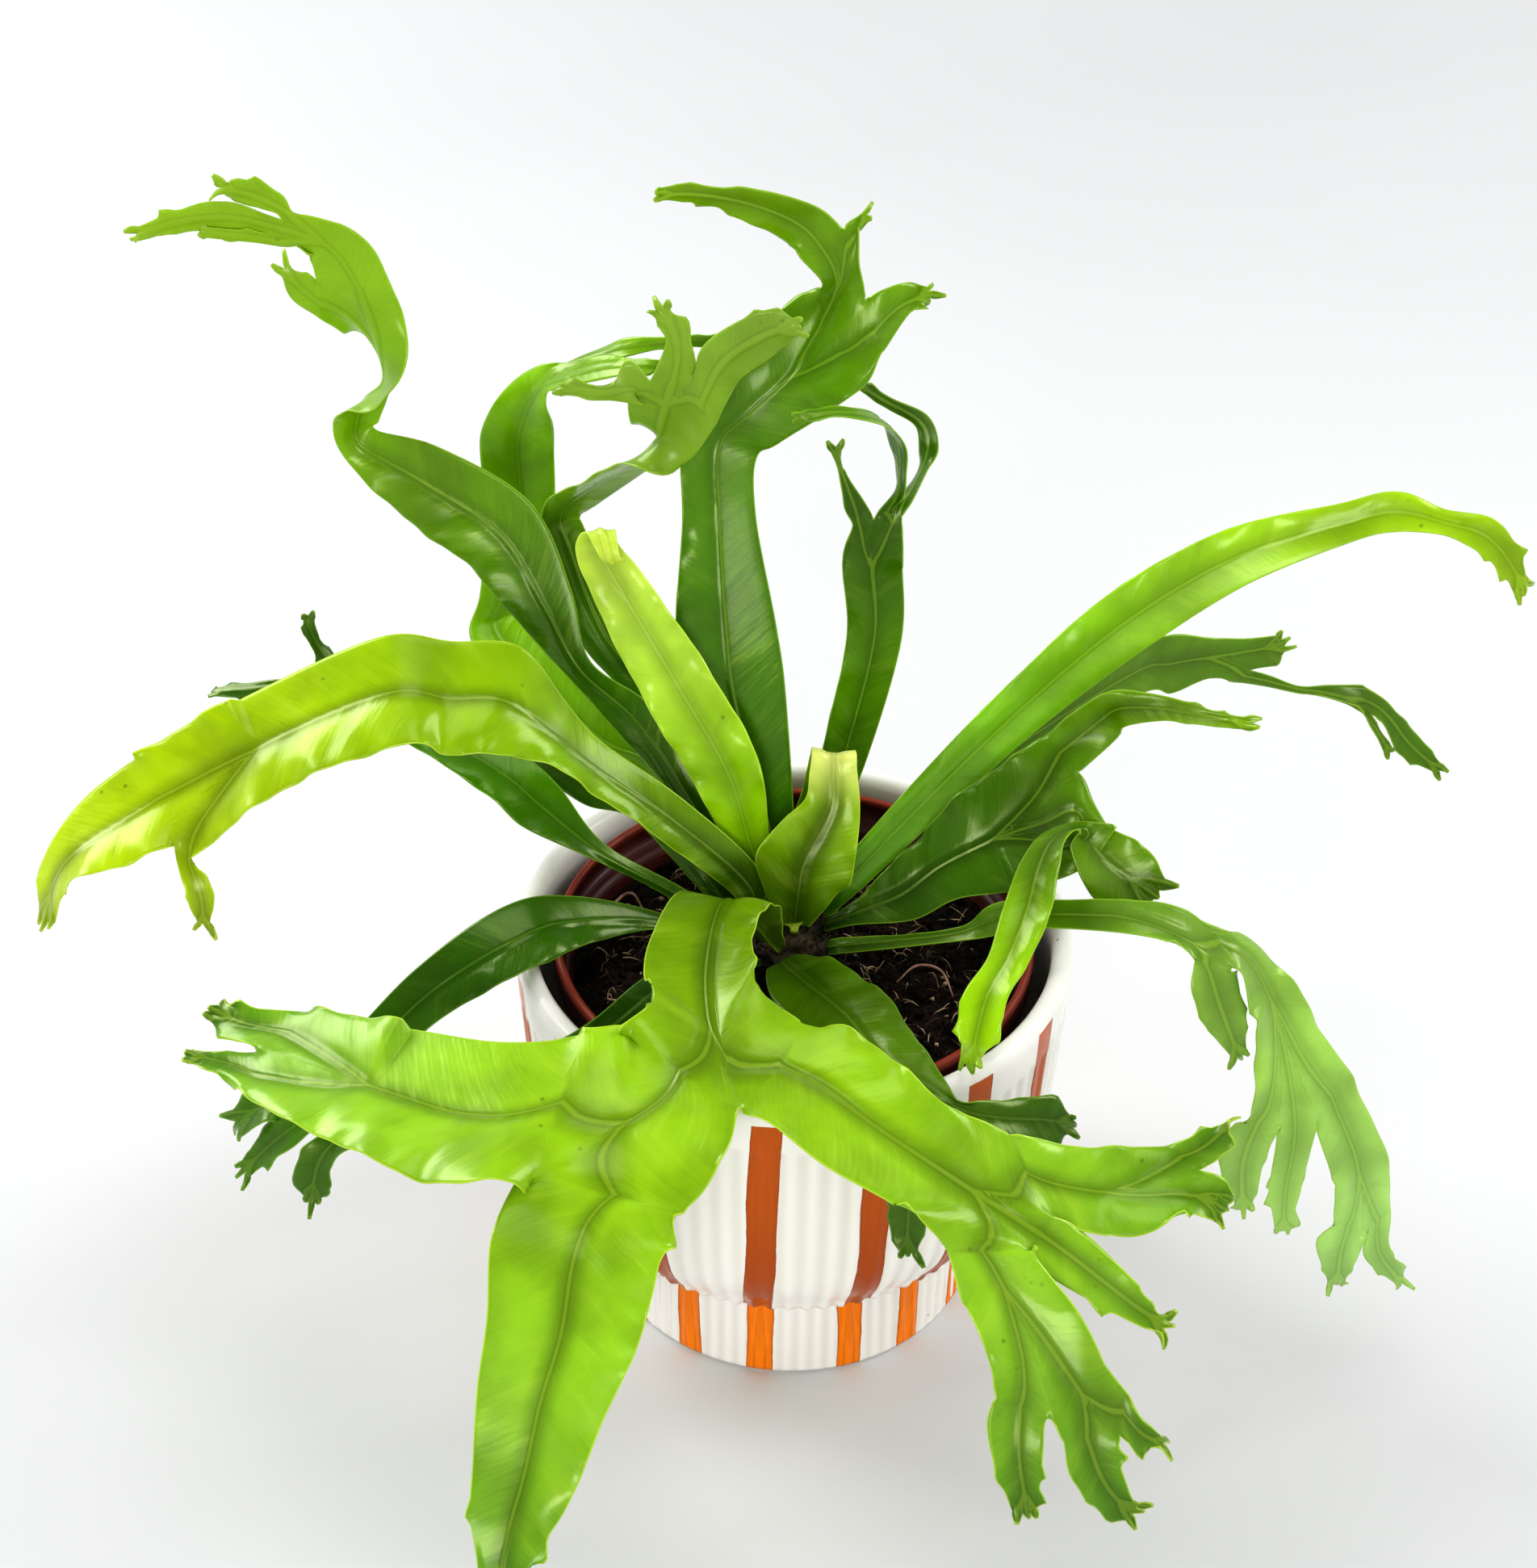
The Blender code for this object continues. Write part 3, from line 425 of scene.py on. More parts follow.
# Each frond's colours from its base to its tips, as sRGB bytes, how wavy its edges are and how far
# back from its tips they are toothed, in millimetres, and the leaf material that it takes.
LOOKS = {
    "frond_spiral": ([(28, 66, 0), (60, 112, 0), (124, 172, 0), (152, 188, 16)], 0.7, 16, "leaf_mid"),
    "frond_back_left": ([(48, 96, 0), (66, 124, 0), (120, 160, 30), (140, 172, 60)], 0.7, 10, "leaf_mid"),
    "frond_far_left": ([(56, 100, 0), (134, 192, 0), (132, 182, 8)], 0.6, 14, "leaf_dark"),
    "frond_tall": ([(72, 128, 0), (66, 120, 0), (84, 134, 0), (132, 176, 6)], 0.9, 20, "leaf_mid"),
    # The third stop is a painted highlight: a pale, bright patch in the middle of the blade.
    "frond_young_lime": (
        [(132, 184, 0), (150, 200, 6), (190, 228, 72), (218, 234, 90)], 1.0, 0, "leaf_lime",
    ),
    "frond_right_upright": ([(104, 154, 0), (88, 138, 0), (56, 102, 4), (66, 116, 10)], 0.8, 10, "leaf_mid"),
    # The second stop is partly a painted highlight, brightened to the lit middle of the blade.
    "frond_long_right": ([(68, 128, 0), (136, 200, 34), (158, 206, 20), (158, 194, 18)], 0.7, 16, "leaf_mid"),
    "frond_behind_right": ([(66, 114, 4), (98, 138, 36), (78, 122, 14)], 0.6, 18, "leaf_mid"),
    "frond_broad_right": ([(50, 96, 0), (60, 106, 0), (106, 150, 10), (180, 236, 0)], 1.2, 16, "leaf_mid"),
    # The last two stops are paler and bluer as painted highlights towards the tips.
    "frond_low_right": ([(60, 98, 4), (94, 136, 16), (156, 200, 86), (180, 226, 130)], 1.0, 24, "leaf_mid"),
    # The third and fourth stops have blue added as a painted mint highlight.
    "frond_front": (
        [(76, 108, 0), (108, 144, 0), (142, 188, 18), (140, 190, 40), (70, 130, 18)], 0.9, 20, "leaf_lime",
    ),
    # The fifth stop, pale and near white, is a painted highlight along the fold near the top.
    "frond_young_centre": ([
        (96, 138, 0), (112, 156, 0), (128, 172, 0), (142, 184, 0), (232, 240, 130), (150, 190, 10),
        (130, 176, 0), (120, 170, 0),
    ], 0.7, 0, "leaf_lime"),
    "frond_broad_left": ([(70, 110, 0), (128, 172, 0), (162, 196, 0), (180, 206, 6)], 1.0, 14, "leaf_lime"),
    "frond_under_left": ([(58, 108, 0), (66, 118, 4), (60, 106, 14)], 0.7, 14, "leaf_dark"),
    "frond_dark_left": ([(38, 76, 0), (44, 86, 2)], 0.5, 8, "leaf_dark"),
    "frond_low_left": ([(50, 92, 4), (46, 92, 0), (72, 124, 10)], 0.9, 16, "leaf_dark"),
    "frond_front_left": ([(50, 92, 0), (46, 90, 0), (64, 112, 4)], 0.9, 14, "leaf_dark"),
    "frond_front_right": ([(72, 106, 0), (84, 122, 0), (50, 96, 0)], 0.7, 16, "leaf_dark"),
}

# Fronds with painted shade, a dark band along the rib's valley: half the band's width in millimetres,
# how dark it is and the share of the frond's length where it ends.
RIB_SHADE_BANDS = {
    "frond_young_centre": (4.6, 0.6, 0.55),
    "frond_front": (2.4, 0.28, 2.0),
    "frond_broad_left": (2.2, 0.3, 2.0),
    "frond_broad_right": (2.2, 0.3, 2.0),
}


def unit(v):
    return v / np.linalg.norm(v)


def ease(t):
    t = np.clip(t, 0.0, 1.0)
    return t * t * (3 - 2 * t)


def spline(a, b, c, d, t):
    """The Catmull-Rom point at the share t of the way from b to c."""
    bend = 2 * a - 5 * b + 4 * c - d
    return 0.5 * (2 * b + (c - a) * t + bend * t**2 + (3 * b - a - 3 * c + d) * t**3)


def axes_matrix(right, up, back):
    return Matrix(np.stack([right, up, back], 1).tolist())


def linear(colour):
    """A colour in sRGB bytes as linear light."""
    return [((c / 255 + 0.055) / 1.055) ** 2.4 if c > 10 else c / 3295 for c in colour]


def facing(bearing, tilt):
    b, t = math.radians(bearing), math.radians(tilt)
    return [math.cos(b) * math.cos(t), math.sin(b) * math.cos(t), math.sin(t)]


# ---- the crests at the fronds' tips


def finger(start, heading, face, across, turn, length, curl, width):
    """The stations of one narrow finger that leaves a tip at an angle and curls."""
    way = math.cos(turn) * heading + math.sin(turn) * across
    middle = start + way * length * 0.5 + face * curl * length * 0.12
    end = start + way * length * 0.95 + face * curl * length * 0.45
    bearing = math.degrees(math.atan2(face[1], face[0]))
    tilt = math.degrees(math.asin(np.clip(face[2], -1, 1)))
    return [(*middle, width, bearing, tilt), (*end, NARROWEST, bearing, tilt)]


def crested(part, rng):
    """The same blade with each plain tip split into two or three small fingers."""
    if part.forks:
        return Blade(part.stations, [crested(fork, rng) for fork in part.forks])
    stations = [np.array(s, float) for s in part.stations]
    before, last = (stations[-2], stations[-1]) if len(stations) > 1 else (stations[0], stations[0])
    heading = unit(last[:3] - before[:3]) if len(stations) > 1 else np.array([0.0, 0.0, 1.0])
    face = np.array(facing(last[4], last[5]))
    across = unit(np.cross(heading, face))
    widest = max(s[3] for s in stations[-3:])
    count = 3 if widest > 7 else 2
    last[3] = max(last[3], 1.3 * count)
    last[:3] -= heading * 1.5
    forks = []
    for k in range(count):
        side = (k + 0.5) / count - 0.5
        start = last[:3] + across * last[3] * side
        turn = side * rng.uniform(0.6, 2.2) + rng.uniform(-0.3, 0.3)
        length = rng.uniform(1.5, 5.0) * (1.0 if widest > 4 else 0.7)
        curl, width = rng.uniform(-2, 2), rng.uniform(1.1, 2.2)
        forks.append(Blade(finger(start, heading, face, across, turn, length, curl, width), ()))
    return Blade([tuple(s) for s in stations], forks)


# ---- a frond's sheet


def columns_needed(part):
    own = math.ceil(max(s[3] for s in part.stations) / COLUMN_PITCH)
    return max(own, sum(columns_needed(fork) for fork in part.forks), 4)


def planned(part, count):
    """Where a blade's columns lie across it, shared among its forks by what each one needs."""
    if not part.forks:
        return Plan(part.stations, [k / count for k in range(count + 1)], [])
    needs = [columns_needed(fork) for fork in part.forks]
    counts = [need + (count - sum(needs)) * need // sum(needs) for need in needs]
    counts[-1] += count - sum(counts)
    widths = [fork.stations[0][3] for fork in part.forks]
    plans = [planned(fork, n) for fork, n in zip(part.forks, counts, strict=True)]
    places = [0.0]
    for plan, width in zip(plans, widths, strict=True):
        start, share = places[-1], width / sum(widths)
        places += [start + share * place for place in plan.places[1:]]
    return Plan(part.stations, places, plans)


def smooth_rows(rows, lead_in):
    """Catmull-Rom rows about ROW_PITCH apart, each the left edge, the right edge and the width.
    The first span leaves along lead_in. Also says how far each row is past the first span."""
    before = 2 * rows[0] - rows[1]
    if lead_in is not None:
        for part in (slice(0, 3), slice(3, 6)):
            chord = rows[1][part] - rows[0][part]
            span = np.linalg.norm(chord)
            before[part] = rows[0][part] - unit(chord / max(span, 1e-6) + 0.8 * lead_in) * span
    ends = np.vstack([before, rows, 2 * rows[-1] - rows[-2]])
    out, spans = [], []
    for number, (a, b, c, d) in enumerate(zip(ends, ends[1:], ends[2:], ends[3:], strict=False)):
        longest = max(np.linalg.norm(c[:3] - b[:3]), np.linalg.norm(c[3:6] - b[3:6]))
        steps = max(2, round(longest / ROW_PITCH))
        for k in range(steps):
            out.append(spline(a, b, c, d, k / steps))
            spans.append(number + k / steps)
    out.append(rows[-1])
    spans.append(len(rows) - 1.0)
    return np.array(out), np.array(spans)


def edge_rows(stations, came_from=None):
    """A blade's stations as left edge, right edge and width, each square to the blade's run."""
    middles = [np.array(s[:3], float) for s in stations]
    rows = []
    for k, station in enumerate(stations):
        before = middles[max(k - 1, 0)]
        if k == 0 and len(stations) == 1:
            before = came_from
        heading = middles[min(k + 1, len(stations) - 1)] - before
        width = max(station[3], NARROWEST)
        half = unit(np.cross(heading, facing(station[4], station[5]))) * width / 2
        rows.append([*(middles[k] - half), *(middles[k] + half), width])
    return rows


def fork_starts(plan):
    """Each column border at which a fork begins, and the last one."""
    starts = [0]
    for fork in plan.forks:
        starts.append(starts[-1] + len(fork.places) - 1)
    return starts


def notch_moves(plan, left, right):
    """How far each place of a blade's last section moves, so that the notches between its forks lie
    where the forks' edges part, and the two outer edges stay."""
    starts = fork_starts(plan)
    knots = [plan.places[k] for k in starts]
    moves = [np.zeros(3)]
    firsts = []
    for fork, a, b in zip(plan.forks, knots, knots[1:], strict=False):
        firsts.append(edge_rows(fork.stations, left + (right - left) * (a + b) / 2)[0])
    for near, far, knot in zip(firsts, firsts[1:], knots[1:], strict=False):
        one, other = np.array(near[3:6]), np.array(far[:3])
        gap = np.linalg.norm(one - other) / min(near[6], far[6])
        share = np.clip(0.95 - 0.45 * gap, 0.2, 0.88)
        moves.append(share * ((one + other) / 2 - left - (right - left) * knot))
    moves.append(np.zeros(3))
    moves = np.array(moves)
    return np.stack([np.interp(plan.places, knots, moves[:, axis]) for axis in range(3)], 1)


def split_zone(farthest, web, width, length):
    """How far before a section's end its rib splits. Forks that turn away sharply have a notch far
    ahead of the section's end, and the rib splits where the moved rows come level with that end."""
    level = [x for x in np.linspace(0, length, 60) if farthest * ease(1 - x / web) >= x][-1]
    ahead = 0.9 * width if farthest < 0.5 * width else min(0.3 * width, 9.0)
    return min(max(level, ahead), 0.92 * length)


def rib_places(plan, left_over, zone):
    """Where the ribs lie across a blade: one, which splits as the blade nears its forks."""
    if not plan.forks:
        return [0.5]
    starts = fork_starts(plan)
    goals = [(plan.places[a] + plan.places[b]) / 2 for a, b in zip(starts, starts[1:], strict=False)]
    share = max(0.0, 1 - left_over / (zone + 1e-6))
    return [0.5 + (goal - 0.5) * share for goal in goals]


def rib_distance(places, ribs, width, slopes):
    """For each place: how far the nearest rib is, how far that rib's wing reaches, and its side.
    A rib that runs aslant across the rows is nearer than it is along its row."""
    borders = [0.0] + [(a + b) / 2 for a, b in zip(ribs, ribs[1:], strict=False)] + [1.0]
    out = []
    for place in places:
        k = int(np.argmin([abs(place - rib) for rib in ribs]))
        side = 1 if place >= ribs[k] else -1
        nearer = width / math.hypot(1, slopes[k])
        reach = abs(borders[k + (side > 0)] - ribs[k]) * nearer
        out.append((abs(place - ribs[k]) * nearer, max(reach, 0.05), side))
    return out


def teeth(rng, length, reach, zone):
    """The small teeth along a tip's two edges: (how far along, side, how far out, half length)."""
    zone = min(0.7 * length, zone)
    found = []
    for side in (-1, 1):
        at = length - zone + rng.uniform(0, 9)
        while at < length - 2:
            size = 0.4 + 2.2 * rng.random() ** 2
            found.append((at, side, size * min(1.0, reach / 7 + 0.3), rng.uniform(2.0, 4.2)))
            at += rng.uniform(4.0, 15)
    return found


def frond_sheet(part, rng, crest):
    """A frond's middle sheet: vertices in millimetres, four-sided faces and a row of facts for
    each vertex: rib distance, wing reach, side, distance from the base, width, two phases and how
    far the nearest fork is."""
    verts, faces, facts = [], [], []
    phases = rng.uniform(0, TURN, 2)

    def grow(plan, section, lead_in, travelled):
        if section is None:
            rows = edge_rows(plan.stations)
        else:
            first, last = verts[section[0]], verts[section[-1]]
            rows = [[*first, *last, np.linalg.norm(last - first)]]
            rows += edge_rows(plan.stations, (first + last) / 2)
        rows, spans = smooth_rows(np.array(rows), lead_in)
        left, right = rows[:, :3], rows[:, 3:6]
        middles = (left + right) / 2
        along = np.gradient(middles, axis=0)
        steps = np.linalg.norm(np.diff(middles, axis=0), axis=1)
        reached = np.concatenate([[0.0], np.cumsum(steps)])
        length, width_end = reached[-1], rows[-1][6]
        at_tip = all(not fork.forks and len(fork.stations) == 2 for fork in plan.forks)
        edge_teeth = teeth(rng, length, rows[:, 6].max() / 2, crest) if at_tip and crest else []
        moves = np.zeros((len(plan.places), 3))
        if plan.forks:
            moves = notch_moves(plan, left[-1], right[-1])
        farthest = np.linalg.norm(moves, axis=1).max()
        web = min(2.2 * farthest + 2.0, 0.95 * length)
        zone = split_zone(farthest, web, width_end, length)
        section_given = section is not None
        for k in range(1 if section_given else 0, len(rows)):
            heading, across = unit(along[k]), right[k] - left[k]
            settled = ease(spans[k]) if section_given else 1.0
            width = np.linalg.norm(across) * (1 - settled) + rows[k][6] * settled
            sideways = unit(across)
            ribs = rib_places(plan, length - reached[k], zone)
            next_ribs = rib_places(plan, length - reached[k] - 0.5, zone)
            slopes = [(b - a) * width / 0.5 for a, b in zip(ribs, next_ribs, strict=False)]
            knee = min(length - reached[k] if plan.forks else 1e3, reached[k] if section_given else 1e3)
            near_end = ease(1 - (length - reached[k]) / web)
            start = len(verts)
            for c, fact in enumerate(rib_distance(plan.places, ribs, width, slopes)):
                place, out = plan.places[c], 0.0
                for at, side, size, half in edge_teeth:
                    near = max(0.0, 1 - abs(reached[k] - at) / half) ** 1.3
                    out += size * near * side * max(0.0, side * (2 * place - 1)) ** 4
                point = middles[k] + sideways * (width * (place - 0.5) + out) + heading * abs(out) * 0.9
                verts.append(point + moves[c] * near_end)
                facts.append((*fact, travelled + reached[k], width, *phases, knee))
            new = list(range(start, start + len(plan.places)))
            if section is not None:
                for c in range(len(new) - 1):
                    faces.append((section[c], section[c + 1], new[c + 1], new[c]))
            section = new
        at = 0
        for fork in plan.forks:
            count = len(fork.places) - 1
            grow(fork, section[at : at + count + 1], unit(along[-1]), travelled + length)
            at += count

    if crest:
        part = crested(part, rng)
    grow(planned(part, columns_needed(part)), None, None, 0.0)
    return np.array(verts), faces, np.array(facts)


def vertex_normals(verts, faces):
    quads = np.array(faces)
    first = np.cross(verts[quads[:, 1]] - verts[quads[:, 0]], verts[quads[:, 2]] - verts[quads[:, 0]])
    second = np.cross(verts[quads[:, 2]] - verts[quads[:, 0]], verts[quads[:, 3]] - verts[quads[:, 0]])
    normals = np.zeros_like(verts)
    for corner in range(4):
        np.add.at(normals, quads[:, corner], first + second)
    return normals / np.maximum(np.linalg.norm(normals, axis=1), 1e-9)[:, None]


def relaxed(values, faces, amounts, rounds):
    """The same values, each drawn towards the mean of its neighbours' by its amount each round."""
    corners = np.array(faces)
    ends, others = corners.ravel(), np.roll(corners, -1, axis=1).ravel()
    ends, others = np.concatenate([ends, others]), np.concatenate([others, ends])
    count = len(values)
    shares = np.maximum(np.bincount(ends, minlength=count), 1)
    for _ in range(rounds):
        sums = [np.bincount(ends, values[others, axis], count) for axis in range(values.shape[1])]
        values = values + amounts[:, None] * (np.stack(sums, 1) / shares[:, None] - values)
    return values


def border_of(faces):
    sides = Counter((f[k], f[(k + 1) % 4]) for f in faces for k in range(4))
    return [(a, b) for a, b in sides if (b, a) not in sides]


def edge_distance(verts, border):
    """How far each vertex is from the nearest point of the sheet's border."""
    a = verts[[s[0] for s in border]]
    b = verts[[s[1] for s in border]]
    points = np.vstack([a, (a + b) / 2])
    nearest = np.full(len(verts), 1e9)
    for start in range(0, len(verts), 800):
        gap = verts[start : start + 800, None, :] - points[None]
        nearest[start : start + 800] = np.sqrt((gap**2).sum(2).min(1))
    return nearest


def wings(facts, waviness):
    """How far the two wings beside each rib stand off the sheet, in millimetres."""
    distance, reach, side, along = facts[:, 0], facts[:, 1], facts[:, 2], facts[:, 3]
    phase = facts[:, 5] * side
    second = facts[:, 6]
    q = np.clip(distance / reach, 0, 1)
    hollow = reach * (0.38 * q - 0.18 * q**2)
    ripple = np.sin(TURN * (along / LONG_RIPPLE + 0.12 * q) + phase)
    ripple += 0.45 * np.sin(TURN * along / SHORT_RIPPLE + second - phase)
    quilt = np.sin(TURN * (along - VEIN_SLANT * distance) / LONG_QUILT + second + phase)
    quilt += 0.3 * np.sin(TURN * (along - VEIN_SLANT * distance) / SHORT_QUILT + phase)
    amount = np.minimum(1.0, reach / 9)
    return hollow + waviness * amount * q**3 * ripple + 0.2 * amount * np.sin(math.pi * q) * quilt


def tint_along(colours, share, mottle):
    """A frond's colour at each share of its length, from the base to the tips."""
    stops = np.array([linear(c) for c in colours])
    places = np.linspace(0, 1, len(stops))
    rgb = [np.interp(np.clip(share, 0, 1), places, stops[:, k]) for k in range(3)]
    return np.stack(rgb, 1) * (1 + 0.08 * mottle[:, None])


def add_mesh(name, verts, faces, mat, smooth=True):
    """A mesh object from vertices in metres."""
    mesh = bpy.data.meshes.new(name)
    mesh.from_pydata(np.asarray(verts, float).tolist(), [], [tuple(map(int, f)) for f in faces])
    mesh.materials.append(mat)
    mesh.shade_smooth() if smooth else mesh.shade_flat()
    mesh.update()
    ob = bpy.data.objects.new(name, mesh)
    bpy.context.scene.collection.objects.link(ob)
    return ob


def set_values(ob, name, values):
    """A number for each vertex, for the material to read."""
    layer = ob.data.attributes.new(name, "FLOAT", "POINT")
    layer.data.foreach_set("value", np.asarray(values, dtype=np.float32))


def set_colours(ob, name, colours):
    layer = ob.data.attributes.new(name, "FLOAT_COLOR", "POINT")
    rgba = np.hstack([colours, np.ones((len(colours), 1))]).astype(np.float32)
    layer.data.foreach_set("color", rgba.ravel())


def frond(name, part, materials):
    """One finished frond in place of its CAD blade."""
    colours, waviness, crest, slot = LOOKS[name]
    rng = np.random.default_rng(sum(map(ord, name)))
    sheet, faces, facts = frond_sheet(part, rng, crest)
    border = border_of(faces)
    pull = FORK_PULL * np.exp(-((facts[:, 7] / FORK_SMOOTHING) ** 2))
    pull[[side[0] for side in border]] = 0.0
    sheet = relaxed(sheet, faces, pull, SHEET_ROUNDS)
    normals = vertex_normals(sheet, faces)
    sheet = sheet + normals * relaxed(wings(facts, waviness)[:, None], faces, pull, WING_ROUNDS)
    normals = vertex_normals(sheet, faces)
    rib, reach, along, width = facts[:, 0], facts[:, 1], facts[:, 3], facts[:, 4]
    longest = along.max()
    stalk = np.exp(-along / STALK_FADE)
    stout = 0.35 + 0.65 * np.clip(1 - along / longest, 0, 1)
    rib_half = 0.35 + 0.65 * stout
    present = np.minimum(1.0, reach / 1.5)
    ridge = np.exp(-((rib / rib_half) ** 2)) * present
    flank = np.exp(-(((rib - 2.1 * rib_half) / (0.8 * rib_half)) ** 2)) * present
    raised = relaxed(np.stack([ridge, flank], 1), faces, np.full(len(sheet), 0.4), 2)
    ridge, flank = raised[:, 0], raised[:, 1]
    edge = edge_distance(sheet, border)
    thick = BLADE_THICKNESS * (0.55 + 0.45 * np.clip(edge / EDGE_TAPER, 0, 1))
    upper = thick / 2 + stout * (RIB_RISE * ridge - FLANK_SINK * flank)
    lower = thick / 2 + stout * RIB_BELOW * ridge + STALK_BELOW * stalk * np.minimum(1, width / 4) * ridge
    verts = np.vstack([sheet + normals * upper[:, None], sheet - normals * lower[:, None]])
    count = len(sheet)
    solid = list(faces) + [(a + count, d + count, c + count, b + count) for a, b, c, d in faces]
    solid += [(b, a, a + count, b + count) for a, b in border]
    mottle = np.sin(along / 7 + facts[:, 5]) * np.cos(rib / 4 + facts[:, 6])
    ob = add_mesh(name + "_leaf", verts * MM, solid, materials[slot])
    for key, values in (("rib", rib), ("along", along), ("edge", edge), ("wing", facts[:, 2] * rib)):
        set_values(ob, key, np.tile(values, 2))
    set_values(ob, "under", np.repeat([0.0, 1.0], count))
    tint = tint_along(colours, along / longest, mottle)
    # Painted shade: the tint darkens in a band along the rib's valley.
    band_half, band_dark, band_end = RIB_SHADE_BANDS.get(name, (1.0, 0.0, 1.0))
    rib_shade = np.exp(-((rib / band_half) ** 2)) * ease((band_end - along / longest) / 0.15)
    tint *= 1 - band_dark * rib_shade[:, None]
    set_colours(ob, "tint", np.tile(tint, (2, 1)))
    finish_piece(ob, name)


# ---- turned pieces


def smooth_path(points, pitch):
    """A smooth (radius, height) line through the points, with a point about every pitch."""
    pts = np.array(points, float)
    out = []
    ends = np.vstack([2 * pts[0] - pts[1], pts, 2 * pts[-1] - pts[-2]])
    for a, b, c, d in zip(ends, ends[1:], ends[2:], ends[3:], strict=False):
        steps = max(1, round(np.linalg.norm(c - b) / pitch))
        out += [spline(a, b, c, d, k / steps) for k in range(steps)]
    out.append(pts[-1])
    return out


def ring_faces(rings, sides, start=0, flipped=False):
    """Four-sided faces between rings of vertices that follow one another from a start."""
    faces = []
    for ring in range(rings - 1):
        low = start + ring * sides
        for k in range(sides):
            n = (k + 1) % sides
            face = (low + k, low + n, low + sides + n, low + sides + k)
            faces.append((face[0], face[3], face[2], face[1]) if flipped else face)
    return faces


def turned(rings, sides, radius_at):
    """Vertices and faces of a shape turned about Z, from its outer foot round to its inner floor.
    radius_at(radius, height, angles) shapes each ring. Both ends close on a middle point."""
    angles = np.arange(sides) * TURN / sides
    verts = []
    for radius, height in rings:
        radii = radius_at(radius, height, angles)
        heights = np.full(sides, height)
        verts.append(np.stack([radii * np.sin(angles), -radii * np.cos(angles), heights], 1))
    verts = np.vstack(verts)
    faces = ring_faces(len(rings), sides)
    bottom, top = len(verts), len(verts) + 1
    verts = np.vstack([verts, [0, 0, rings[0][1]], [0, 0, rings[-1][1]]])
    last = (len(rings) - 1) * sides
    for k in range(sides):
        n = (k + 1) % sides
        faces.append((bottom, n, k))
        faces.append((top, last + k, last + n))
    return verts, faces


# ---- the planter, in millimetres

FLUTES = 80
PLANTER_SIDES = FLUTES * 7
FLUTE_DEPTH = 0.6
SEAM_HEIGHT = 31.0
PLINTH_TOP = 28.0
FLUTE_TOP = 97.0
STRIPE_TOP = 105.6
STRIPE_HALF = 3.75
UNPAINTED = 99.0
FRONT_STRIPE = 1
FRONT_LEAN = 0.05
# The middle of each painted stripe, in degrees round from the front towards the right
STRIPES = [-30, -8, 17.5, 39, 61, 85, 107, 129, 152, 174, 197, 220, 242, 264, 286, 308]


def outer_line():
    foot = [(49.3, 0), (50.1, 0.35), (50.5, 1.4), (50.5, 13), (50.5, 26.2)]
    under = [(50.6, 27.2), (52.4, 28.2), (55.4, 29.4), (57.2, 30.3)]
    body = [(58.0, 31.6), (59.2, 34.2), (61.6, 38.0), (64.4, 43.5), (66.2, 49.5), (67.2, 57)]
    upper = [(68.3, 72), (69.2, 88), (69.7, 97), (69.9, 101.5)]
    lip = [(70, 104), (70, 106.2), (69.4, 108.1), (67.9, 109), (66.3, 108.8), (65.0, 107.6)]
    inside = [(64.5, 105.6), (64.3, 96), (63.7, 79), (61.5, 53), (58.5, 43), (53, 36), (46.3, 33)]
    cellar = [(45.5, 31), (45.5, 9), (44.9, 6.8), (43, 6)]
    line = []
    for run in (foot, under, body + upper, lip):
        line += smooth_path(run, 1.3)
    for run in (inside, cellar):
        line += smooth_path(run, 4.0)
    return line


def fluted(radius, height, angles):
    """The radius all round at a height, with shallow hollow flutes on the body and the plinth,
    arched at their tops, and a slightly uneven seam between the two."""
    phase = (angles * FLUTES / TURN) % 1.0 * 2 - 1
    hollow = (0.5 + 0.5 * np.cos(math.pi * phase)) ** 0.8
    if radius < 49.9 or height > 100 or (radius < 66 and height > 55):
        return np.full_like(angles, radius)
    if height < PLINTH_TOP:
        depth = FLUTE_DEPTH * 0.9 * ease(height / 2.5)
        return radius - depth * hollow + 0.25 * np.sin(3 * angles + 1)
    top = FLUTE_TOP - 2.6 * phase**2
    fade = ease((top - height) / 2.2)
    seam = ease((SEAM_HEIGHT + 5 - height) / 6)
    hand = 0.18 * np.sin(5 * angles + 0.6) + 0.12 * np.sin(11 * angles)
    return radius - (FLUTE_DEPTH + 0.5 * seam) * fade * hollow + hand * seam


def flute_share(verts):
    """1 in the bottom of a flute, 0 on the crest between two, and 0 above them."""
    angles = np.arctan2(verts[:, 0], -verts[:, 1])
    return (0.5 + 0.5 * np.cos(angles * FLUTES - math.pi)) ** 1.5 * ease((FLUTE_TOP - verts[:, 2]) / 2)


def stripe_distance(verts):
    """How far each vertex lies from the middle of the nearest stripe, in millimetres."""
    angle = np.degrees(np.arctan2(verts[:, 0], -verts[:, 1]))
    radius = np.hypot(verts[:, 0], verts[:, 1])
    gaps = np.stack([(angle - s + 180) % 360 - 180 for s in STRIPES])
    nearest = np.abs(gaps).argmin(0)
    gap = gaps[nearest, np.arange(len(verts))]
    lean = FRONT_LEAN * np.maximum(verts[:, 2] - SEAM_HEIGHT, 0) * (nearest == FRONT_STRIPE)
    return np.radians(gap) * radius - lean, nearest


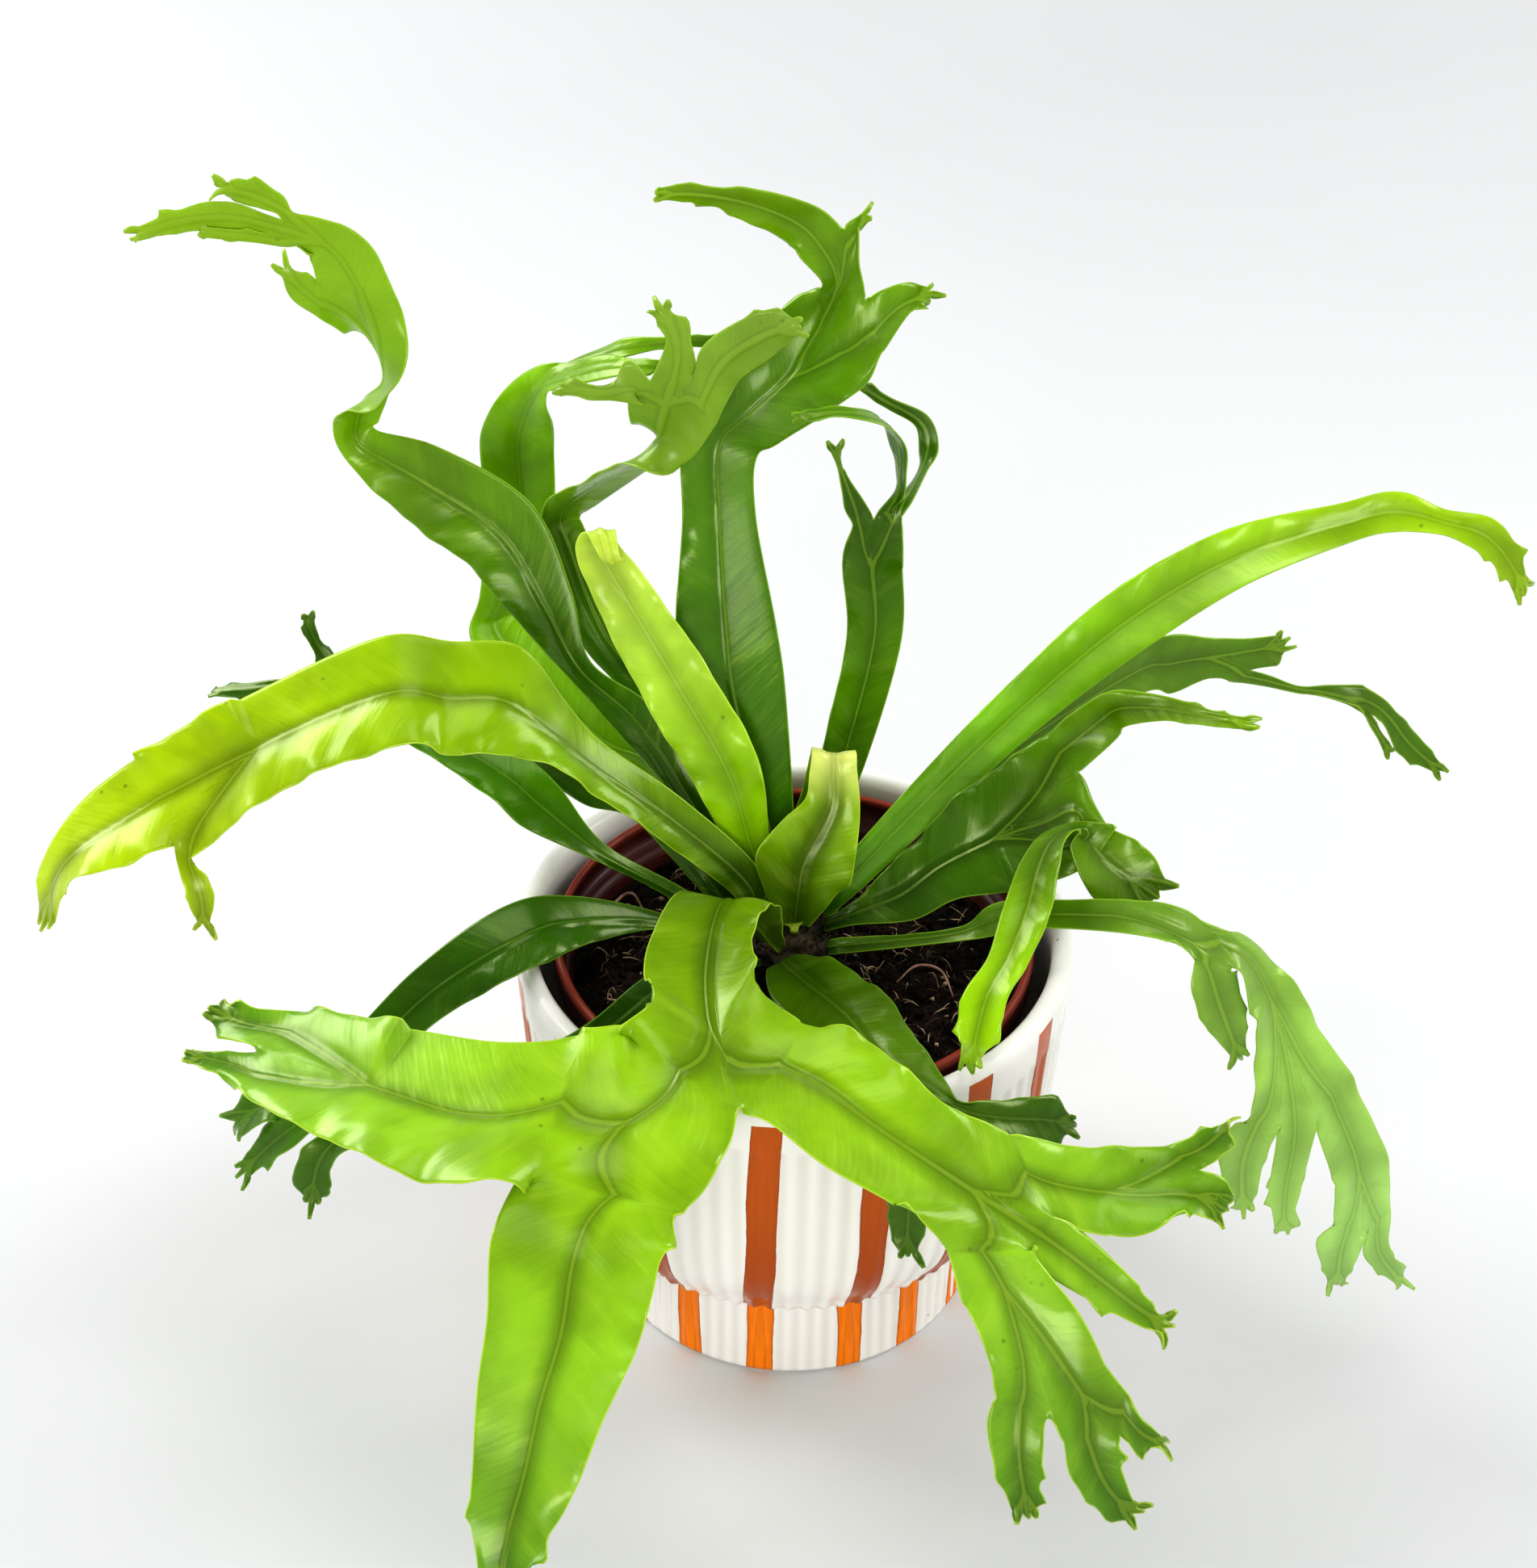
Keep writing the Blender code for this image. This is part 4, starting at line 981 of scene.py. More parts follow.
def planter(materials):
    verts, faces = turned(outer_line(), PLANTER_SIDES, fluted)
    ob = add_mesh("planter_glazed", verts * MM, faces, materials["glazed_ceramic"])
    distance, which = stripe_distance(verts)
    radius = np.hypot(verts[:, 0], verts[:, 1])
    outside = (radius > 66) | ((verts[:, 2] < 55) & (radius > 49.8))
    painted = outside & (verts[:, 2] < STRIPE_TOP + 2)
    wobble = np.sin(which * 2.4 + verts[:, 2] / 23) * 0.6 + np.sin(which * 5.1 + verts[:, 2] / 9) * 0.25
    set_values(ob, "stripe", np.where(painted, np.abs(distance + wobble), UNPAINTED))
    set_values(ob, "stripe_top", verts[:, 2] - STRIPE_TOP + np.sin(which * 7.7) * 0.8)
    set_values(ob, "plinth", ease((PLINTH_TOP + 0.8 - verts[:, 2]) / 0.8) * outside)
    # The seam value marks the crease, where the glaze paints a line that is part thin glaze, part painted
    # shade.
    set_values(ob, "seam", np.exp(-(((verts[:, 2] - 29.2) / 1.0) ** 2)) * outside)
    # The flute value marks the flute bottoms, where the glaze paints its shade.
    set_values(ob, "flute", flute_share(verts) * outside)
    set_values(ob, "height", verts[:, 2])
    finish_piece(ob, "planter")


def nursery_pot(materials):
    """The thin inner pot: a tapered wall, a stepped collar and a rolled rim."""
    rim, top, floor, wall, neck = 60.4, 106.7, 6.3, 1.2, 57.5
    low = top - 11
    outer = [(38.5, floor), (39.6, floor + 0.4), (40, floor + 1.5), (48.7, 50), (neck, low - 0.4)]
    step = [(neck + 0.4, low), (rim - 1.0, low + 0.5), (rim - 0.5, low + 1.4), (rim - 0.5, top - 3.4)]
    roll = [(rim - 0.2, top - 3.0), (rim, top - 1.6), (rim - 0.5, top - 0.4), (rim - 1.2, top)]
    back = [(rim - 2.0, top - 0.5), (rim - 2.3, top - 1.6), (rim - 1.9, top - 2.6), (rim - 2.2, top - 4)]
    inner = [(rim - 2.4, low + 2), (neck - wall, low - 1), (48.7 - wall, 50), (40 - wall, floor + 2.4)]
    base = [(38.4, floor + 1.5), (37.4, floor + wall)]
    line = []
    for run in (outer, step, roll + back, inner, base):
        line += smooth_path(run, 1.5)

    def ribbed(radius, height, angles):
        swell = 0.12 * np.sin(2 * angles + 0.7) + 0.08 * np.sin(3 * angles)
        return radius + swell * ease((height - 80) / 25)

    verts, faces = turned(line, 192, ribbed)
    ob = add_mesh("nursery_pot_moulded", verts * MM, faces, materials["nursery_plastic"])
    radius = np.hypot(verts[:, 0], verts[:, 1])
    set_values(ob, "rim", ease((verts[:, 2] - (top - 2.2)) / 1.4) * (radius > 55))
    set_values(ob, "height", verts[:, 2])
    finish_piece(ob, "nursery_pot")


# ---- the potting mix and the crown, in millimetres

MIX_TOP = 94.2
MIX_EDGE = 55.6
CROWN_AT = (-1.0, 9.0)
CROWN_REACH = 13
CRUMBS = 1500
SCALES = 260


def grain(x, y, scale, seed):
    """Smooth noise from -1 to 1 on the plane, the same each run."""
    rng = np.random.default_rng(seed)
    grid = rng.uniform(-1, 1, (97, 97))
    u, v = (x / scale) % 96, (y / scale) % 96
    i, j = np.floor(u).astype(int), np.floor(v).astype(int)
    fu, fv = ease(u - i), ease(v - j)
    i2, j2 = (i + 1) % 97, (j + 1) % 97
    low = grid[i, j] * (1 - fu) + grid[i2, j] * fu
    high = grid[i, j2] * (1 - fu) + grid[i2, j2] * fu
    return low * (1 - fv) + high * fv


def mix_height(x, y):
    rough = 1.3 * grain(x, y, 7.0, 1) + 0.9 * grain(x, y, 3.1, 2) + 0.55 * grain(x, y, 1.3, 3)
    rise = 1.6 * np.exp(-(((x - CROWN_AT[0]) ** 2 + (y - CROWN_AT[1]) ** 2) / 380))
    edge = ease((np.hypot(x, y) - (MIX_EDGE - 7)) / 7)
    return MIX_TOP + rough * (1 - 0.4 * edge) + rise - 1.6 * edge


def mix_surface():
    """The top of the mix as rings of vertices, then its side and its flat underside."""
    sides = 300
    angles = np.arange(sides) * TURN / sides
    radii = list(np.arange(0.8, MIX_EDGE, 0.75)) + [MIX_EDGE]
    verts = [np.array([[0.0, 0.0, float(mix_height(np.zeros(1), np.zeros(1))[0])]])]
    for radius in radii:
        x, y = radius * np.cos(angles), radius * np.sin(angles)
        verts.append(np.stack([x, y, mix_height(x, y)], 1))
    for radius, height in ((MIX_EDGE - 0.4, 86), (47.3, 50), (38.3, 10), (36.6, 7.9)):
        ring = np.stack([radius * np.cos(angles), radius * np.sin(angles), np.full(sides, height)], 1)
        verts.append(ring)
    verts.append(np.array([[0.0, 0.0, 7.9]]))
    count = len(verts) - 2
    faces = [(0, 1 + k, 1 + (k + 1) % sides) for k in range(sides)]
    faces += ring_faces(count, sides, 1, flipped=True)
    last, end = 1 + (count - 1) * sides, 1 + count * sides
    faces += [(end, last + (k + 1) % sides, last + k) for k in range(sides)]
    return np.vstack(verts), faces


def crumb(rng, at, size):
    """One irregular lump: a low ball with each corner pushed in or out."""
    ring = 6
    verts = [np.array([0, 0, -0.8])]
    for z, r in ((-0.5, 0.75), (0.15, 1.0), (0.65, 0.6)):
        for k in range(ring):
            a = TURN * (k + z) / ring
            verts.append(np.array([r * math.cos(a), r * math.sin(a), z]))
    verts.append(np.array([0, 0, 0.95]))
    verts = np.array(verts) * rng.uniform(0.65, 1.25, (len(verts), 1))
    stretch = np.diag(rng.uniform(0.6, 1.3, 3))
    spin = np.array(Matrix.Rotation(rng.uniform(0, TURN), 3, rng.uniform(-1, 1, 3).tolist()))
    faces = [(0, 1 + (k + 1) % ring, 1 + k) for k in range(ring)]
    faces += ring_faces(3, ring, 1)
    top = 1 + 2 * ring
    faces += [(top + k, top + (k + 1) % ring, len(verts) - 1) for k in range(ring)]
    return verts @ stretch @ spin.T * size + at, faces


def fibre(points, thickness):
    """A thin root or straw: a five-sided tube through the points, thinner at its ends."""
    pts = np.array(smooth_path(points, 1.4))
    along = np.gradient(pts, axis=0)
    verts, sides = [], 5
    for k, (point, way) in enumerate(zip(pts, along, strict=True)):
        way = unit(way)
        first = unit(np.cross(way, [0.3, 0.2, 1.0]))
        second = np.cross(way, first)
        share = k / (len(pts) - 1)
        radius = thickness / 2 * (0.35 + 0.65 * math.sin(math.pi * (0.08 + 0.84 * share)))
        for s in range(sides):
            a = TURN * s / sides
            verts.append(point + radius * (math.cos(a) * first + math.sin(a) * second))
    faces = ring_faces(len(pts), sides, flipped=True)
    faces.append(tuple(range(sides)))
    faces.append(tuple(reversed(range((len(pts) - 1) * sides, len(pts) * sides))))
    return np.array(verts), faces


def joined(parts):
    verts, faces, start = [], [], 0
    for v, f in parts:
        verts.append(v)
        faces += [tuple(i + start for i in face) for face in f]
        start += len(v)
    return np.vstack(verts), faces


def on_mix(rng, reach):
    """A random place on the mix, clear of the crown."""
    while True:
        radius, angle = reach * math.sqrt(rng.uniform(0.02, 1)), rng.uniform(0, TURN)
        x, y = radius * math.cos(angle), radius * math.sin(angle)
        if math.hypot(x - CROWN_AT[0], y - CROWN_AT[1]) > CROWN_REACH:
            return x, y


def height_at(x, y):
    return float(mix_height(np.array([x]), np.array([y]))[0])


def litter(rng, count, length, thickness, lift):
    """Loose fibres lying across the mix, each a short bent line."""
    parts = []
    for _ in range(count):
        x, y = on_mix(rng, MIX_EDGE - 6)
        angle, bend = rng.uniform(0, TURN), rng.uniform(-0.25, 0.25)
        size = rng.uniform(*length)
        points = []
        for k in range(4):
            turn = angle + bend * (k / 3 - 0.5) * 2
            step = size * (k / 3 - 0.5)
            px, py = x + step * math.cos(turn), y + step * math.sin(turn)
            if math.hypot(px, py) > MIX_EDGE - 1.5:
                px, py = px * 0.9, py * 0.9
            rise = lift * rng.uniform(0.2, 1.0) * (1 if k % 3 else -0.3)
            points.append((px, py, height_at(px, py) + thickness * 0.5 + rise))
        parts.append(fibre(points, thickness * rng.uniform(0.7, 1.2)))
    return joined(parts)


def potting_mix(materials):
    verts, faces = mix_surface()
    rng = np.random.default_rng(11)
    parts = [(verts, faces)]
    for _ in range(CRUMBS):
        x, y = on_mix(rng, MIX_EDGE - 1.5)
        size = rng.choice([0.5, 0.8, 1.2, 1.7], p=[0.4, 0.35, 0.18, 0.07])
        parts.append(crumb(rng, np.array([x, y, height_at(x, y) + size * 0.3]), size))
    verts, faces = joined(parts)
    ob = add_mesh("potting_mix_peat", verts * MM, faces, materials["potting_mix"], smooth=False)
    finish_piece(ob, "potting_mix")
    straws = litter(rng, 190, (3, 9), 0.36, 1.3)
    hairs = litter(rng, 300, (2.5, 7), 0.2, 1.5)
    chips = []
    for _ in range(46):
        x, y = on_mix(rng, MIX_EDGE - 6)
        chips.append(crumb(rng, np.array([x, y, height_at(x, y) + 0.5]), 0.7))
    # The long bent roots at the left and at the right of the crown
    roots = [
        fibre([(-50, 15, 94.5), (-46, 22, 97.2), (-42, 24, 98.4), (-38.5, 20, 95)], 0.9),
        fibre([(26, -6, 95), (31, -3, 98), (37, -5, 98.2), (40, -11, 94.8)], 0.8),
        fibre([(-47, -14, 95), (-38, -17, 96.6), (-28, -13, 96.2)], 1.0),
        fibre([(-45, -20, 95.2), (-36, -17, 96.8), (-27, -20, 96)], 0.8),
    ]
    for name, shape, slot_material in (
        ("potting_mix_straws", straws, "straw"),
        ("potting_mix_hairs", hairs, "hair_root"),
        ("potting_mix_chips", joined(chips), "straw"),
        ("potting_mix_roots", joined(roots), "root"),
    ):
        piece = add_mesh(name, shape[0] * MM, shape[1], materials[slot_material])
        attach(piece, "root")


def crown(materials):
    """The rhizome, wrapped in pointed brown scales that lie against it, tips up."""
    rng = np.random.default_rng(5)
    line = [(8.5, 94.6), (10.6, 95.6), (10.6, 97.0), (8.4, 98.6)]
    line += [(7.4, 101.0), (4.6, 102.2), (1.2, 103.8)]

    def lumpy(radius, height, angles):
        return radius * (1 + 0.07 * np.sin(5 * angles + height) + 0.05 * np.sin(9 * angles - height))

    verts, faces = turned(smooth_path(line, 0.9), 60, lumpy)
    parts = [(verts + [CROWN_AT[0], CROWN_AT[1], 0], faces)]
    for _ in range(SCALES):
        angle, level = rng.uniform(0, TURN), rng.uniform(0, 1)
        radius = 10.2 - 6.4 * level + rng.uniform(-0.3, 0.3)
        base = np.array([radius * math.cos(angle), radius * math.sin(angle), 95.2 + 6.6 * level])
        base[:2] += CROWN_AT
        lean = np.array([math.cos(angle), math.sin(angle), 0]) * rng.uniform(0.1, 0.9)
        tip = base + (lean + [0, 0, 1.0]) * rng.uniform(1.5, 3.4)
        middle = (base + tip) / 2 + lean * 0.3
        parts.append(fibre([base, middle, tip], 0.7))
    verts, faces = joined(parts)
    ob = add_mesh("crown_scales", verts * MM, faces, materials["crown"])
    finish_piece(ob, "crown")


def finish_piece(ob, node):
    """The piece rides with the object and stands for its CAD node, which is hidden."""
    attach(ob, "root")
    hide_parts(node)


# ---- materials


class Nodes:
    """Short calls for building one material's nodes."""

    def __init__(self, name, roughness=0.5, **values):
        self.material = bpy.data.materials.new(name)
        self.material.use_nodes = True
        self.tree = self.material.node_tree
        self.shader = self.tree.nodes["Principled BSDF"]
        self.shader.inputs["Roughness"].default_value = roughness
        for socket, value in values.items():
            self.shader.inputs[socket.replace("_", " ")].default_value = value

    def node(self, kind, **settings):
        made = self.tree.nodes.new(kind)
        for key, value in settings.items():
            setattr(made, key, value)
        return made

    def put(self, socket, value):
        if isinstance(value, bpy.types.NodeSocket):
            self.tree.links.new(value, socket)
        elif isinstance(value, (tuple, list)) and len(socket.default_value) == 4:
            socket.default_value = (*value[:3], 1.0)
        else:
            socket.default_value = value

    def value(self, name):
        return self.node("ShaderNodeAttribute", attribute_name=name).outputs["Fac"]

    def colour(self, name):
        return self.node("ShaderNodeAttribute", attribute_name=name).outputs["Color"]

    def math(self, operation, a, b=0.0):
        made = self.node("ShaderNodeMath", operation=operation)
        for socket, value in zip(made.inputs, (a, b), strict=False):
            self.put(socket, value)
        return made.outputs[0]

    def ramp(self, value, low, high, out_low=0.0, out_high=1.0):
        made = self.node("ShaderNodeMapRange", interpolation_type="SMOOTHSTEP")
        for socket, v in zip(made.inputs, (value, low, high, out_low, out_high), strict=False):
            self.put(socket, v)
        return made.outputs[0]

    def mix(self, share, a, b):
        made = self.node("ShaderNodeMix", data_type="RGBA")
        self.put(made.inputs["Factor"], share)
        self.put(made.inputs[6], a)
        self.put(made.inputs[7], b)
        return made.outputs[2]

    def noise(self, scale, detail=3.0, roughness=0.55, vector=None):
        made = self.node("ShaderNodeTexNoise")
        made.inputs["Scale"].default_value = scale
        made.inputs["Detail"].default_value = detail
        made.inputs["Roughness"].default_value = roughness
        if vector is None:
            vector = self.node("ShaderNodeTexCoord").outputs["Object"]
        self.put(made.inputs["Vector"], vector)
        return made.outputs["Fac"]

    def spots(self, scale, reach):
        """1 inside small scattered spots, 0 elsewhere."""
        made = self.node("ShaderNodeTexVoronoi")
        made.inputs["Scale"].default_value = scale
        self.put(made.inputs["Vector"], self.node("ShaderNodeTexCoord").outputs["Object"])
        return self.ramp(made.outputs["Distance"], reach, reach * 0.6)

    def vector(self, x, y, z):
        made = self.node("ShaderNodeCombineXYZ")
        for socket, v in zip(made.inputs, (x, y, z), strict=True):
            self.put(socket, v)
        return made.outputs[0]

    def bump(self, height, distance, strength=1.0, normal=None):
        made = self.node("ShaderNodeBump")
        made.inputs["Distance"].default_value = distance
        made.inputs["Strength"].default_value = strength
        self.put(made.inputs["Height"], height)
        if normal is not None:
            self.put(made.inputs["Normal"], normal)
        return made.outputs[0]

    def finish(self, colour=None, roughness=None, normal=None):
        for socket, value in (("Base Color", colour), ("Roughness", roughness), ("Normal", normal)):
            if value is not None:
                self.put(self.shader.inputs[socket], value)
        return self.material


def leaf_material(name, edge_colour, gloss, speck, pale_rib):
    """A fern blade: fine slanting veins, painted shade in the rib's groove and along its valley, a pale
    thin edge, patches of deeper and brighter green, and a paler, duller underside."""
    n = Nodes(name, Coat_Weight=0.36, Coat_Roughness=0.2, Specular_IOR_Level=0.36)
    n.shader.inputs["Specular Tint"].default_value = (0.8, 1.0, 0.15, 1.0)
    n.shader.inputs["Subsurface Weight"].default_value = 0.12
    n.shader.inputs["Subsurface Radius"].default_value = (0.35, 1.0, 0.12)
    n.shader.inputs["Subsurface Scale"].default_value = 0.0012
    reach, along, edge, wing = (n.value(key) for key in ("rib", "along", "edge", "wing"))
    rib = n.math("MAXIMUM", n.math("ABSOLUTE", wing), n.math("SUBTRACT", reach, 0.8))
    under = n.ramp(n.value("under"), 0.4, 0.6)
    drift = n.math("MULTIPLY", n.noise(160, 2), 1.6)
    slant = n.math("SUBTRACT", along, n.math("MULTIPLY", rib, VEIN_SLANT))
    line = n.math("PINGPONG", n.math("ADD", slant, drift), 0.8)
    vein = n.math("MULTIPLY", n.ramp(line, 0.5, 0.0), n.ramp(rib, 0.8, 2.2))
    streak_place = n.vector(n.math("MULTIPLY", slant, 0.13), n.math("MULTIPLY", wing, 0.05), 0.0)
    streaks = n.noise(1.0, 2, vector=streak_place)
    patches = n.noise(48, 3)
    tint = n.colour("tint")
    deep = n.mix(0.62, tint, (0.004, 0.03, 0.0))
    bright = n.mix(0.5, tint, edge_colour)
    face = n.mix(n.ramp(patches, 0.36, 0.7, 0.0, 0.5), tint, deep)
    face = n.mix(n.ramp(streaks, 0.5, 0.8, 0.0, 0.3), face, bright)
    face = n.mix(n.ramp(streaks, 0.45, 0.22, 0.0, 0.3), face, deep)
    face = n.mix(n.math("MULTIPLY", vein, 0.04), face, bright)
    # Painted shade: the face darkens in a broad valley along the rib and in a dark line in its groove.
    face = n.mix(n.ramp(rib, 4.4, 0.8, 0.0, 0.38), face, deep)
    face = n.mix(n.ramp(rib, 1.1, 0.6, 0.0, 0.4), face, deep)
    face = n.mix(n.ramp(rib, 0.5, 0.2, 0.0, pale_rib), face, bright)
    back = n.mix(0.3, tint, (0.22, 0.42, 0.02))
    back = n.mix(n.math("MULTIPLY", vein, 0.08), back, (0.1, 0.2, 0.03))
    back = n.mix(n.ramp(patches, 0.36, 0.7, 0.0, 0.35), back, deep)
    back = n.mix(n.ramp(streaks, 0.5, 0.8, 0.0, 0.3), back, bright)
    # Painted shade beside the rib on the underside.
    back = n.mix(n.ramp(rib, 1.6, 0.8, 0.0, 0.3), back, deep)
    back = n.mix(n.ramp(rib, 0.8, 0.4, 0.0, 0.4), back, bright)
    colour = n.mix(under, face, back)
    colour = n.mix(n.ramp(edge, 0.42, 0.12, 0.0, 0.45), colour, edge_colour)
    specks = n.math("MULTIPLY", n.spots(150, 0.1), n.ramp(n.noise(22, 1), 0.55, 0.65, 0.0, speck))
    colour = n.mix(specks, colour, (0.06, 0.045, 0.01))
    rough = n.math("ADD", n.ramp(patches, 0.3, 0.7, gloss, gloss + 0.1), n.math("MULTIPLY", under, 0.12))
    normal = n.bump(vein, 0.00005, 0.3)
    normal = n.bump(streaks, 0.0016, 0.4, normal)
    normal = n.bump(n.noise(1500, 2), 0.0001, 0.35, normal)
    return n.finish(colour, rough, normal)


def glaze_material():
    """White glaze with painted shade in its flute hollows, and hand-painted stripes whose pigment pools at
    the edges.
    """
    n = Nodes("glazed_ceramic_stripes", 0.13, Specular_IOR_Level=0.2)
    waver = n.math("MULTIPLY", n.math("SUBTRACT", n.noise(55, 3), 0.5), 1.5)
    reach = n.math("ADD", n.value("stripe"), waver)
    plinth, seam = n.value("plinth"), n.value("seam")
    half = n.math("SUBTRACT", STRIPE_HALF, n.math("MULTIPLY", plinth, 0.35))
    depth = n.math("SUBTRACT", half, reach)
    top = n.math("ADD", n.value("stripe_top"), n.math("MULTIPLY", waver, 1.2))
    stripe = n.math("MULTIPLY", n.ramp(depth, -0.08, 0.08), n.ramp(top, 0.15, -0.15))
    across, up = n.math("MULTIPLY", n.value("stripe"), 1.1), n.math("MULTIPLY", n.value("height"), 0.05)
    brush = n.noise(1.0, 4, vector=n.vector(across, up, 0.0))
    white = n.mix(n.ramp(n.noise(30, 3), 0.35, 0.75, 0.0, 0.5), (0.90, 0.87, 0.83), (0.88, 0.835, 0.775))
    # Painted shade: the glaze darkens to cream in the bottoms of the flutes.
    white = n.mix(n.math("MULTIPLY", n.value("flute"), 0.6), white, (0.74, 0.69, 0.61))
    # Painted shade: the stripes' paint darkens towards the bottom of the body, where it curves under.
    body = n.mix(n.ramp(n.value("height"), 95, 33), (0.54, 0.10, 0.0), (0.36, 0.055, 0.0))
    paint = n.mix(plinth, body, (1.0, 0.24, 0.0))
    paint = n.mix(n.ramp(brush, 0.35, 0.7, 0.0, 0.55), paint, (0.40, 0.075, 0.002))
    paint = n.mix(n.ramp(depth, 0.55, 0.05, 0.0, 0.6), paint, (0.27, 0.04, 0.002))
    colour = n.mix(stripe, white, paint)
    # A brown line along the seam: partly glaze running thin in the crease, partly painted shade where the
    # body meets the plinth.
    colour = n.mix(n.math("MULTIPLY", seam, 0.75), colour, (0.22, 0.11, 0.06))
    fleck = n.math("MULTIPLY", n.spots(75, 0.05), n.ramp(n.noise(9, 1), 0.52, 0.58, 0.0, 0.8))
    colour = n.mix(fleck, colour, (0.12, 0.08, 0.05))
    rough = n.math("ADD", n.ramp(n.noise(120, 3), 0.3, 0.8, 0.17, 0.27), n.math("MULTIPLY", seam, 0.45))
    normal = n.bump(n.noise(70, 2), 0.0006, 0.25)
    normal = n.bump(stripe, 0.00008, 0.5, normal)
    return n.finish(colour, rough, normal)


def nursery_material():
    """Terracotta-coloured plastic with fine moulding lines and a brighter top to its rim."""
    n = Nodes("nursery_plastic_moulded", 0.5, Specular_IOR_Level=0.3)
    height = n.value("height")
    lines = n.math("PINGPONG", n.math("ADD", height, n.math("MULTIPLY", n.noise(90, 2), 0.5)), 0.6)
    patches = n.noise(60, 4)
    base = n.mix(n.ramp(patches, 0.35, 0.7), (0.045, 0.006, 0.004), (0.085, 0.012, 0.008))
    colour = n.mix(n.math("MULTIPLY", n.value("rim"), 0.85), base, (0.30, 0.036, 0.012))
    dust = n.ramp(n.noise(240, 4), 0.58, 0.75, 0.0, 0.4)
    colour = n.mix(dust, colour, (0.05, 0.03, 0.02))
    rough = n.ramp(patches, 0.3, 0.7, 0.4, 0.6)
    normal = n.bump(lines, 0.0002, 0.3)
    return n.finish(colour, rough, n.bump(n.noise(900, 2), 0.0001, 0.3, normal))


def peat_material():
    """Dark peat with paler crumbs and fibres in it."""
    n = Nodes("potting_mix_peat", 0.9, Specular_IOR_Level=0.12)
    broad, fine = n.noise(130, 4), n.noise(900, 5, 0.65)
    colour = n.mix(n.ramp(broad, 0.35, 0.7), (0.003, 0.002, 0.0015), (0.017, 0.010, 0.006))
    colour = n.mix(n.ramp(fine, 0.55, 0.75, 0.0, 0.7), colour, (0.075, 0.042, 0.022))
    colour = n.mix(n.math("MULTIPLY", n.spots(420, 0.16), 0.5), colour, (0.14, 0.085, 0.045))
    rough = n.ramp(fine, 0.3, 0.7, 0.72, 0.95)
    return n.finish(colour, rough, n.bump(fine, 0.0005, 0.8))


def fibre_material(name, dark, light, roughness):
    """Dry plant fibre, streaked and patchy."""
    n = Nodes(name, roughness)
    patches, fine = n.noise(170, 3), n.noise(1100, 3)
    colour = n.mix(n.ramp(patches, 0.35, 0.68), dark, light)
    colour = n.mix(n.ramp(fine, 0.5, 0.8, 0.0, 0.4), colour, dark)
    rough = n.ramp(fine, 0.3, 0.7, roughness - 0.1, roughness + 0.1)
    return n.finish(colour, rough, n.bump(fine, 0.0002, 0.5))


def floor_material():
    """A pale floor that glows faintly far out, beyond the reach of the lights."""
    n = Nodes("pale_floor", 0.75)
    colour = n.mix(n.ramp(n.noise(3, 2), 0.3, 0.7), (0.65, 0.655, 0.66), (0.67, 0.675, 0.68))
    place = n.node("ShaderNodeVectorMath", operation="LENGTH")
    n.put(place.inputs[0], n.node("ShaderNodeTexCoord").outputs["Object"])
    glow = n.ramp(place.outputs["Value"], FAR_FROM, FAR_TO, 0.0, FAR_GLOW)
    n.shader.inputs["Emission Color"].default_value = (1.0, 1.0, 1.0, 1.0)
    n.put(n.shader.inputs["Emission Strength"], glow)
    return n.finish(colour)


def make_materials():
    return {
        "leaf_lime": leaf_material("leaf_lime_blade", (0.66, 0.84, 0.08), 0.27, 0.5, 0.25),
        "leaf_mid": leaf_material("leaf_mid_blade", (0.36, 0.56, 0.04), 0.25, 0.4, 0.45),
        "leaf_dark": leaf_material("leaf_dark_blade", (0.25, 0.43, 0.04), 0.26, 0.4, 0.35),
        "glazed_ceramic": glaze_material(),
        "nursery_plastic": nursery_material(),
        "potting_mix": peat_material(),
        "crown": fibre_material("crown_scales", (0.012, 0.008, 0.003), (0.07, 0.045, 0.016), 0.8),
        "straw": fibre_material("mix_straw", (0.12, 0.065, 0.028), (0.66, 0.48, 0.28), 0.75),
        "hair_root": fibre_material("mix_hair_root", (0.06, 0.032, 0.016), (0.30, 0.19, 0.10), 0.75),
        "root": fibre_material("mix_root", (0.22, 0.10, 0.06), (0.62, 0.36, 0.24), 0.6),
    }


# ---- floor, light and camera


def floor():
    """A wide flat floor, just under the planter's foot."""
    steps = 24
    grid = np.linspace(-FLOOR_HALF, FLOOR_HALF, steps + 1)
    verts = [(x, y, FLOOR_LEVEL) for y in grid for x in grid]
    faces = []
    for j in range(steps):
        for i in range(steps):
            low = j * (steps + 1) + i
            faces.append((low, low + 1, low + steps + 2, low + steps + 1))
    add_mesh("studio_floor", verts, faces, floor_material())


